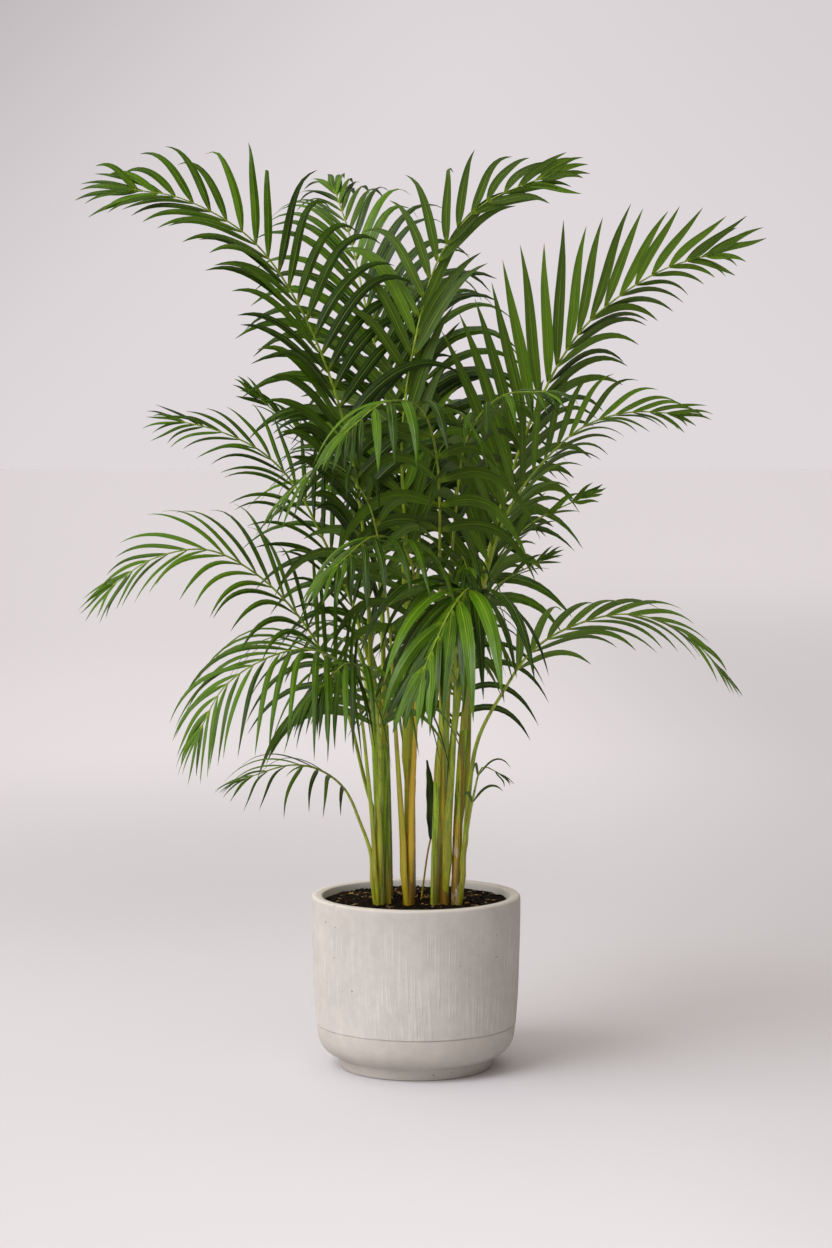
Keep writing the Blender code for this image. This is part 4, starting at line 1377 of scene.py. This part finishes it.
@dataclass
class CaneClump:
    """All the canes, each a jointed stem whose joints have a low collar."""

    sides: int = 16
    ring_step: float = 0.0035
    internode: float = 0.052
    collar: float = 0.00018
    collar_height: float = 0.0022
    foot_flare: float = 0.0006
    foot_height: float = 0.012
    lobes: int = 3
    lobe_depth: float = 0.07
    unevenness: float = 0.05
    paper_at: float = 0.042
    paper_height: float = 0.026
    buried: float = 0.030
    canes: list[Cane] = field(default_factory=lambda: CANES)

    def _rings(self, cane: Cane) -> tuple[Rings, Values]:
        """One cane's rings and the values on each.

        Args:
            cane: The cane.

        Returns:
            The rings' corners, and each ring's values by attribute name.
        """
        chance = random.Random(cane.name)
        start = chance.uniform(0.2, 0.8)
        tall = cane.height + 0.004
        steps = int((tall + self.buried) / self.ring_step)
        rings, sections = [], []
        for step in range(steps + 1):
            height = -self.buried + (tall + self.buried) * step / steps
            joint = start + max(height, -self.buried) / self.internode
            near = abs(joint - round(joint)) * self.internode
            radius = cane.thickness(height) + self.collar * math.exp(-(near / self.collar_height) ** 2)
            radius += self.foot_flare * math.exp(-max(height, 0.0) / self.foot_height)
            radius *= min(1.0, math.sqrt(max(tall - height, 0.0) / 0.010) + 0.55)
            centre = cane.axis(height)
            ring = []
            for k in range(self.sides):
                turn = math.tau * k / self.sides
                bend = noise.noise(Vector((math.cos(turn) * 1.5, math.sin(turn) * 1.5, height * 20 + cane.x * 90)))
                lobe = math.cos(self.lobes * turn + cane.x * 300 + height * 5)
                bend = 1 + self.unevenness * bend + self.lobe_depth * lobe
                ring.append(centre + radius * bend * Vector((math.cos(turn), math.sin(turn), 0)))
            rings.append(ring)
            papery = cane.papery * math.exp(-((height - self.paper_at) / self.paper_height) ** 2)
            sections.append({"height": height, "joint": joint + 5, "golden": cane.golden, "papery": papery})
        return rings, sections

    def build(self, stem: Material) -> None:
        """Makes a piece for each cane.

        Args:
            stem: The canes' material.
        """
        for cane in self.canes:
            bm = bmesh.new()
            swept(bm, *self._rings(cane))
            mounted(finished(cane.name.replace("cane", "stem"), bm, stem, 50.0), "cane", cane.name)


# ---- fronds ----


@dataclass
class BladeTemplate:
    """One leaflet as a thin closed tent of few faces: x runs along it, y across it and z through it."""

    steps: int = 12

    def mesh(self) -> bpy.types.Mesh:
        """The template: a grid and its underside, joined along both edges and closed at both ends.

        Returns:
            The template's mesh.
        """
        bm = bmesh.new()
        bmesh.ops.create_grid(bm, x_segments=self.steps, y_segments=2, size=1.0)
        for vert in bm.verts:
            vert.co.x = (vert.co.x + 1) / 2
        under = bmesh.ops.duplicate(bm, geom=bm.faces[:] + bm.edges[:] + bm.verts[:])["geom"]
        bmesh.ops.reverse_faces(bm, faces=[g for g in under if isinstance(g, bmesh.types.BMFace)])
        lower = {g for g in under if isinstance(g, bmesh.types.BMVert)}
        for vert in bm.verts:
            if abs(vert.co.y) < 0.5:
                vert.co.z = -1.0 if vert in lower else 1.0
        bmesh.ops.remove_doubles(bm, verts=bm.verts, dist=1e-5)
        bmesh.ops.holes_fill(bm, edges=bm.edges, sides=4)
        bmesh.ops.recalc_face_normals(bm, faces=bm.faces)
        for face in bm.faces:
            face.smooth = True
        for edge in bm.edges:
            ends = [vert.co for vert in edge.verts]
            lengthwise = abs(ends[0].x - ends[1].x) > 1e-6
            edge.smooth = not (lengthwise and (ends[0].z > 0.5 or abs(ends[0].y) > 0.5))
        made = bpy.data.meshes.new("blade_template")
        bm.to_mesh(made)
        bm.free()
        return made


@dataclass
class FrondCrown:
    """All the fronds: for each, a stalk and the leaflets along it."""

    half_thickness: float = 0.00022
    fold: float = 0.26
    fold_range: Pair = (0.75, 1.25)
    twist_deg: float = 9
    wave: float = 0.0016
    path_samples: int = 4
    widen: float = 1.04
    tone_middle: float = 0.45
    tone_spread: float = 0.32
    stalk_sides: int = 10
    stalk_step: float = 0.009
    swollen: float = 1.40
    sheath: float = 0.13
    flat: float = 0.62
    deep_share: float = 0.85
    crown: float = 0.70
    stout_length: float = 0.22
    clasp_length: float = 0.055
    # Within this distance of the plant's middle the leaflets' tone is lowered by this much: painted shade for the heart
    # of the plant.
    heart: float = 0.14
    heart_shade: float = 0.55
    thin: dict[str, float] = field(default_factory=lambda: {
        "frond_right_sprig": 0.5, "frond_low_left": 0.55, "frond_right_low": 0.72, "frond_mid_left": 0.62,
        "frond_low_arching": 0.62, "frond_upper_mid_left": 0.60, "frond_right_arching": 0.78, "frond_inner_left": 0.75,
        "frond_core_left": 0.78, "frond_core_right": 0.78, "frond_back_low_left": 0.65, "frond_back_low_right": 0.65,
        "frond_back_left": 0.75, "frond_right_middle": 0.75, "frond_right_inner": 0.80, "frond_front_middle": 0.85,
        "frond_top_left": 0.95})
    stout: dict[str, float] = field(default_factory=lambda: {
        "frond_top_middle": 2.0, "frond_core_left": 1.3, "frond_right_inner": 1.3, "frond_core_right": 1.3})
    outline: list[Pair] = field(default_factory=lambda: [
        (0.0, 0.26), (0.05, 0.52), (0.14, 0.86), (0.28, 1.0), (0.44, 0.98), (0.60, 0.84), (0.75, 0.60), (0.88, 0.32),
        (0.96, 0.12), (1.0, 0.02)])

    def _stations(self, line: LeafletLine, steps: int, chance: random.Random) -> list[Station]:
        """A leaflet's stations, with its own twist, wave and fold.

        Args:
            line: Where the leaflet lies.
            steps: How many steps its template has.
            chance: The leaflet's own random draws.

        Returns:
            At each step its centre, its across and face vectors, and its half width.
        """
        smooth = catmull_rom(line.path, self.path_samples)
        widen = self.widen * self.thin.get(line.seed.split()[0], 1.0)
        twist = math.radians(chance.gauss(0, self.twist_deg))
        wave = chance.uniform(-self.wave, self.wave)
        fold_turn = chance.uniform(*self.fold_range)
        out = []
        for step in range(steps + 1):
            share = step / steps
            place = share * (len(smooth) - 1)
            i = min(int(place), len(smooth) - 2)
            centre = smooth[i].lerp(smooth[i + 1], place - i)
            ahead = (smooth[min(i + 2, len(smooth) - 1)] - smooth[max(i - 1, 0)]).normalized()
            at = share * (len(line.widths) - 1)
            j = min(int(at), len(line.widths) - 2)
            across = line.widths[j].lerp(line.widths[j + 1], at - j) * line.side.sign
            across = (across - ahead * across.dot(ahead)).normalized()
            across = Matrix.Rotation(twist * share, 3, ahead) @ across
            face = ahead.cross(across)
            centre = centre + across * wave * math.sin(math.pi * share * 2)
            half = 0.5 * line.broad * widen * along_table(self.outline, share)
            out.append((centre, across, face * fold_turn, half))
        return out

    def _leaflet(
            self, bm: BMesh, template: bpy.types.Mesh, steps: int, line: LeafletLine, tone: float) -> None:
        """Lays one copy of the template along a leaflet's line.

        Args:
            bm: The frond's mesh of leaflets.
            template: The blade template.
            steps: How many steps the template has.
            line: Where the leaflet lies.
            tone: How fresh its green is, from 0 to 1, lowered near the plant's middle as painted shade.
        """
        layers = {key: bm.verts.layers.float[key] for key in ("along", "across", "under", "tone")}
        stations = self._stations(line, steps, random.Random("lie " + line.seed))
        first = len(bm.verts)
        bm.from_mesh(template)
        bm.verts.ensure_lookup_table()
        for vert in bm.verts[first:]:
            share, side, level = vert.co
            centre, across, face, half = stations[round(share * steps)]
            lift = level * self.half_thickness * (1 - 0.6 * share) - abs(side) * self.fold * half
            vert.co = centre + across * side * half + face * lift
            vert[layers["along"]] = share
            vert[layers["across"]] = side
            vert[layers["under"]] = 0.5 - 0.5 * level
            vert[layers["tone"]] = tone

    def _clasp(self, grower: LeafletGrower, sunk: float) -> tuple[Vector, Vector, Vector, float]:
        """A ring below the stalk's start, where its sheath runs down into the cane.

        Args:
            grower: The frond's grower.
            sunk: 0 at the stalk's start and 1 where the sheath has gone into the cane.

        Returns:
            The ring's centre, its side and up vectors, and its radius.
        """
        _, up, side = grower.spine.frame(0.0)
        start = grower.spine.point(0.0)
        cane = next(c for c in CANES if c.name == grower.frond.cane)
        high = start.z - SOIL_TOP
        low = max(high - self.clasp_length * sunk, 0.004 * (1 - sunk))
        axis = cane.axis(min(low, cane.height))
        offset = (start - cane.axis(min(high, cane.height))) * (1 - 0.75 * sunk)
        offset.z = 0.0
        stout = self.stout.get(grower.frond.name, 1.0)
        radius = PETIOLE_RADIUS * self.swollen * (1 - 0.30 * sunk) * (1 + (stout - 1) * (1 - sunk))
        return Vector((axis.x, axis.y, SOIL_TOP + low)) + offset, side, up, radius

    def _around(self, centre: Vector, side: Vector, up: Vector, radius: float, crown: float) -> list[Vector]:
        """A stalk's cross-section.

        Args:
            centre: Its middle.
            side: The unit vector across the stalk.
            up: The vector over it, as long as its depth.
            radius: Its half width.
            crown: How high its top stands, as a share of its depth.

        Returns:
            The section's corners.
        """
        ring = []
        for k in range(self.stalk_sides):
            turn = math.tau * (k + 0.5) / self.stalk_sides
            lift = math.sin(turn)
            ring.append(centre + side * radius * math.cos(turn) + up * (lift * (crown if lift > 0 else 1.0)))
        return ring

    def _stalk(self, grower: LeafletGrower, golden: float) -> BMesh:
        """A frond's petiole and rachis: wide where it clasps the cane, flat on top, fine at the tip.

        Args:
            grower: The frond's grower.
            golden: How golden the petiole is, from 0 to 1.

        Returns:
            The closed mesh.
        """
        spine, blade = grower.spine, grower.frond.blade
        steps = int(spine.length / self.stalk_step)
        bm = bmesh.new()
        rings, sections = [], []
        for sunk in (1.0, 0.75, 0.5, 0.25):
            centre, side, out, radius = self._clasp(grower, sunk)
            rings.append(self._around(centre, side, out * (radius * self.flat), radius, 1.0))
            sections.append({"along": 0.0, "golden": min(golden + 0.25, 1.0)})
        for step in range(steps + 1):
            share = step / steps
            _, up, side = spine.frame(share)
            centre = spine.point(share)
            distance = share * spine.length
            swell = math.exp(-(distance / self.sheath) ** 2)
            radius = PETIOLE_RADIUS + (RACHIS_TIP_RADIUS * 0.7 - PETIOLE_RADIUS) * share ** 0.85
            radius *= 1.0 + (self.swollen - 1.0) * swell
            stouter = self.stout.get(grower.frond.name, 1.0) - 1.0
            radius *= 1.0 + stouter * math.exp(-(distance / self.stout_length) ** 2)
            deep = radius * (self.deep_share + (self.flat - self.deep_share) * swell)
            rings.append(self._around(centre, side, up * deep, radius, self.crown))
            yellow = golden * math.exp(-(distance / 0.34) ** 2) + 0.25 * math.exp(-distance / 0.09)
            sections.append({"along": share, "golden": min(yellow, 1.0)})
        swept(bm, rings, sections)
        return bm

    def build(self, leaf: Material, stalk: Material, nodes: dict[str, bpy.types.Object]) -> None:
        """Makes two pieces for each frond.

        Args:
            leaf: The leaflets' finish.
            stalk: The stalks' finish.
            nodes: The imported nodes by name.
        """
        shape = BladeTemplate()
        template = shape.mesh()
        for frond in FRONDS:
            grower = LeafletGrower(frond, nodes[frond.name])
            chance = random.Random("tone " + frond.name)
            bm = bmesh.new()
            for key in ("along", "across", "under", "tone"):
                bm.verts.layers.float.new(key)
            lines = grower.leaflets()
            for line in lines:
                # Painted shade: leaflets near the plant's middle get a darker tone.
                middle = line.path[len(line.path) // 2]
                painted_inside = math.exp(-(middle.x ** 2 + middle.y ** 2) / self.heart ** 2)
                tone = chance.gauss(self.tone_middle, self.tone_spread) + FRESH.get(frond.name, 0.0)
                tone = min(max(tone - self.heart_shade * painted_inside, 0.0), 1.0)
                self._leaflet(bm, template, shape.steps, line, tone)
            log.info("%s: %d leaflets from %d pairs", frond.name, len(lines), frond.pairs)
            mounted(finished(frond.name.replace("frond", "leaflets"), bm, leaf, None), "leaf", frond.name)
            bm = self._stalk(grower, GOLDEN.get(frond.name, 0.1))
            mounted(finished(frond.name.replace("frond", "stalk"), bm, stalk, 60.0), "leaf", frond.name)
        bpy.data.meshes.remove(template)


@dataclass
class SpearLeaf:
    """The young leaf that is still folded: a thin brown stalk and a keeled blade."""

    fold: float = 0.28
    least_depth: float = 0.0007
    samples: int = 5
    sides: int = 8
    stalk_top: float = 0.079
    blade_foot: float = 0.074
    widths: list[Pair] = field(default_factory=lambda: [
        (0.0, 0.0011), (0.074, 0.0009), (0.084, 0.0045), (0.102, 0.0078), (0.124, 0.0068), (0.150, 0.0036),
        (0.166, 0.0014), (0.178, 0.0003)])

    def _tube(self, low: float, high: float, blade: bool) -> BMesh:
        """The length of the spear between two heights over the soil.

        Args:
            low: The lower height.
            high: The upper height.
            blade: Whether it is the blade, which has widths of its own, and not the stalk.

        Returns:
            The closed mesh.
        """
        base = SOIL_TOP + SOIL_DOME + FIT_GAP
        bm = bmesh.new()
        rings, sections = [], []
        for centre in catmull_rom([Vector(place) for place in SPEAR], self.samples):
            if not low <= centre.z <= high:
                continue
            half = along_table(self.widths, centre.z) if blade else self.widths[0][1]
            deep = max(half * self.fold, self.least_depth)
            share = (centre.z - low) / (high - low)
            turns = [math.tau * k / self.sides for k in range(self.sides)]
            centre = centre + Vector((0, 0, base))
            rings.append([centre + Vector((half * math.cos(t), deep * math.sin(t), 0)) for t in turns])
            sections.append({"along": 0.15 + 0.75 * share, "across": 0.5, "under": 0.0, "tone": 0.25, "golden": 0.9})
        swept(bm, rings, sections)
        return bm

    def build(self, leaf: Material, stalk: Material) -> None:
        """Makes the spear's stalk and its blade.

        Args:
            leaf: The blade's material.
            stalk: The stalk's material.
        """
        top = SPEAR[-1][2]
        mounted(finished("spear_stalk", self._tube(0.0, self.stalk_top, False), stalk, 60.0), "leaf", "spear_leaf")
        mounted(finished("spear_blade", self._tube(self.blade_foot, top, True), leaf, 60.0), "leaf", "spear_leaf")


# ---- studio ----


@dataclass
class Studio:
    """A pale floor painted with light and shade, soft light from the left, and the camera."""

    floor_radius: float = 30.0
    camera_place: tuple[float, float, float] = (0.0, -3.6, 0.80)
    pitch_deg: float = 4.29
    lens: float = 87.75
    sensor: float = 36.0
    key_strength: float = 2.25
    key_spread_deg: float = 36.0
    key_from: tuple[float, float, float] = (-1.52, -1.38, 2.07)
    key_colour: Colour = (0.97, 1.0, 1.06)
    front_side: float = 1.6
    front_strength: float = 4.0
    front_place: tuple[float, float, float] = (-0.4, -2.6, 2.6)
    front_from: tuple[float, float, float] = (-0.4, -2.2, 2.3)
    ambient: float = 0.57
    least_ambient: float = 0.08
    ambient_colour: Colour = (1.03, 0.96, 0.89)
    brighter_above: float = 0.48
    dimmer_right: float = 0.58
    darker_mirrored: float = 0.6
    backdrop: Colour = (0.745, 0.694, 0.716)
    floor_near: Colour = (0.585, 0.565, 0.583)
    floor_far_tint: Colour = (1.0, 1.026, 1.030)
    floor_roughness: float = 0.75

    def _backdrop_group(self) -> bpy.types.NodeTree:
        """The backdrop's colour by direction: even, with painted shade that makes it a little darker up on the left and
        up on the right.

        Returns:
            The group's tree.
        """
        tree = bpy.data.node_groups.get("Backdrop")
        if tree:
            return tree
        tree = bpy.data.node_groups.new("Backdrop", "ShaderNodeTree")
        tree.interface.new_socket(name="Direction", in_out="INPUT", socket_type="NodeSocketVector")
        tree.interface.new_socket(name="Colour", in_out="OUTPUT", socket_type="NodeSocketColor")
        bench = Bench(tree)
        entry, end = tree.nodes.new("NodeGroupInput"), tree.nodes.new("NodeGroupOutput")
        axes = bench.axes(entry.outputs["Direction"])
        # Painted shade: darker towards the upper corners.
        corner = bench.minus(axes["Z"], bench.times(axes["X"], 0.9))
        aside = bench.ramp(axes["X"], -0.60, -0.25, 1.0, 0.0)
        shade = bench.math("MAXIMUM", bench.ramp(corner, 0.08, 0.38, 1.0, 0.52), aside)
        shade = bench.times(shade, bench.ramp(bench.plus(axes["X"], axes["Z"]), 0.10, 0.26, 1.0, 0.92))
        level = bench.grey(shade)
        bench.feed(end, Colour=bench.blend(1.0, self.backdrop, level, "MULTIPLY"))
        return tree

    def _floor(self) -> None:
        """The floor, its colour painted with light and shade."""
        bm = bmesh.new()
        bmesh.ops.create_circle(bm, cap_ends=True, segments=96, radius=self.floor_radius)
        made = bpy.data.materials.new("studio floor")
        made.use_nodes = True
        bench = Bench(made.node_tree)
        where = bench.where()
        out = bench.feed(bench.add("VectorMath", operation="LENGTH"), in0=where).outputs["Value"]
        axes = bench.axes(where)
        away = bench.plus(bench.math("ABSOLUTE", axes["Y"]), -self.camera_place[1])
        toward = bench.feed(bench.add("CombineXYZ"), X=bench.math("DIVIDE", axes["X"], away), Y=1.0).outputs[0]
        far = bench.feed(bench.add("Group", node_tree=self._backdrop_group()), Direction=toward).outputs[0]
        # Painted shade: the floor darker to the right, fading out far away.
        right = bench.times(bench.ramp(axes["X"], 0.1, 1.0, 0.0, 0.22), bench.ramp(out, 3.0, 11.0, 1.0, 0.0))
        # Painted shade: the floor a little darker far away.
        level = bench.times(bench.ramp(out, 3.0, 7.0, 0.80, 0.75), bench.minus(1.0, right))
        level = bench.grey(level)
        far = bench.blend(1.0, bench.blend(1.0, far, level, "MULTIPLY"), self.floor_far_tint, "MULTIPLY")
        # Painted light and shade: the floor brighter towards the camera and to the left, darker behind the plant and to
        # the right.
        painted_fore_light = bench.minus(bench.times(axes["Y"], -0.6), bench.times(axes["X"], 1.4))
        painted_fore_light = bench.times(bench.ramp(painted_fore_light, -1.2, 1.2, 0.86, 1.10), bench.ramp(axes["Y"], 0.2, 1.4, 1.0, 0.91))
        painted_fore_light = bench.times(painted_fore_light, bench.ramp(axes["X"], -0.7, 0.35, 0.90, 1.05))
        painted_fore_light = bench.times(painted_fore_light, bench.ramp(axes["X"], 0.20, 0.75, 1.0, 0.90))
        painted_fore_light = bench.grey(painted_fore_light)
        middle = bench.blend(1.0, self.floor_near, painted_fore_light, "MULTIPLY")
        colour = bench.blend(bench.ramp(out, 1.0, 3.4), middle, far)
        shader = made.node_tree.nodes["Principled BSDF"]
        bench.feed(shader, Base_Color=colour)
        shader.inputs["Roughness"].default_value = self.floor_roughness
        finished("studio_floor", bm, made)

    def _key(self) -> None:
        """The soft main light, high on the left and in front."""
        lamp = bpy.data.lights.new("key", "SUN")
        lamp.energy = self.key_strength
        lamp.angle = math.radians(self.key_spread_deg)
        lamp.color = self.key_colour
        placed("key", lamp, facing=Vector(self.key_from).to_track_quat("Z", "Y").to_euler())

    def _front(self) -> None:
        """A wide soft box over the camera, which opens up the front of the plant."""
        lamp = bpy.data.lights.new("front", "AREA")
        lamp.shape, lamp.size = "SQUARE", self.front_side
        lamp.energy = self.front_strength
        placed("front", lamp, self.front_place, Vector(self.front_from).to_track_quat("Z", "Y").to_euler())

    def _world(self) -> None:
        """Even light from all round, and the plain backdrop that the camera sees."""
        world = bpy.data.worlds.new("studio")
        world.use_nodes = True
        bpy.context.scene.world = world
        bench = Bench(world.node_tree)
        tree = world.node_tree
        tree.nodes.clear()
        toward = bench.add("TexCoord").outputs["Generated"]
        axes = bench.axes(toward)
        level = bench.plus(self.ambient, bench.times(axes["Z"], self.brighter_above))
        level = bench.minus(level, bench.times(axes["X"], self.dimmer_right))
        level = bench.math("MAXIMUM", level, self.least_ambient)
        mirrored = bench.add("LightPath").outputs["Is Glossy Ray"]
        dimmed = bench.minus(1.0, bench.times(mirrored, self.darker_mirrored))
        light = bench.feed(
            bench.add("Background"), Color=self.ambient_colour, Strength=bench.times(level, dimmed))
        group = bench.add("Group", node_tree=self._backdrop_group())
        behind = bench.feed(group, Direction=toward).outputs[0]
        seen = bench.feed(bench.add("Background"), Color=behind, Strength=1.0)
        mix = bench.feed(
            bench.add("MixShader"), in0=bench.add("LightPath").outputs["Is Camera Ray"], in1=light.outputs[0],
            in2=seen.outputs[0])
        bench.feed(bench.add("OutputWorld"), Surface=mix.outputs[0])

    def _camera(self) -> None:
        """The camera."""
        lens = bpy.data.cameras.new("camera")
        lens.sensor_fit, lens.lens = "VERTICAL", self.lens
        lens.sensor_height = lens.sensor_width = self.sensor
        facing = (math.radians(90 - self.pitch_deg), 0, 0)
        bpy.context.scene.camera = placed("camera", lens, self.camera_place, facing)

    def build(self) -> None:
        """Sets up floor, lights, backdrop and camera."""
        bpy.context.scene.view_settings.view_transform = "Standard"
        self._floor()
        self._key()
        self._front()
        self._world()
        self._camera()


LEAF = LeafFinish(
    "palm leaf", deep=(0.0038, 0.0190, 0.0005), fresh=(0.054, 0.133, 0.002), vein=(0.150, 0.268, 0.006),
    rib=(0.260, 0.380, 0.020), dry=(0.30, 0.20, 0.09), roughness=0.24, specular=0.24)
STALK = StalkFinish(
    "palm stalk", green=(0.255, 0.400, 0.014), deep=(0.035, 0.085, 0.003), tip=(0.180, 0.290, 0.020),
    golden=(0.520, 0.330, 0.012), speck=(0.10, 0.06, 0.02), roughness=0.32)
CANE = CaneFinish(
    "palm cane", foot=(0.185, 0.068, 0.006), gold=(0.520, 0.340, 0.012), green=(0.310, 0.480, 0.012),
    deep=(0.040, 0.065, 0.004), scar=(0.13, 0.07, 0.02), paper=(0.66, 0.61, 0.54), roughness=0.32)
STONE = StoneFinish(
    "cast stone", body=(0.490, 0.458, 0.430), shoulder=(0.472, 0.440, 0.402), crest=(0.74, 0.72, 0.69),
    groove=(0.34, 0.30, 0.25), rim=(0.74, 0.68, 0.60), pit=(0.09, 0.075, 0.06), groove_height=Pot.groove_height,
    rim_height=Pot.height, roughness=0.78)
COMPOST = SoilFinish(
    "compost", dark=(0.0040, 0.0022, 0.0008), crumb=(0.022, 0.012, 0.005), wood=(0.36, 0.22, 0.08), roughness=0.85,
    specular=0.12)


def main(frame: dict) -> None:
    """Builds every piece in order.
    """
    effects = Effects()
    leaf, stalk = LEAF.make(effects), STALK.make(effects)
    Studio().build()
    Pot().build(STONE.make(effects))
    Soil().build(COMPOST.make(effects))
    CaneClump().build(CANE.make(effects))
    SpearLeaf().build(leaf, stalk)
    FrondCrown().build(leaf, stalk, frame["nodes"])


if __name__ == "__main__":
    logging.basicConfig(level=logging.INFO, format="%(message)s")
    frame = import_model()
    main(frame)
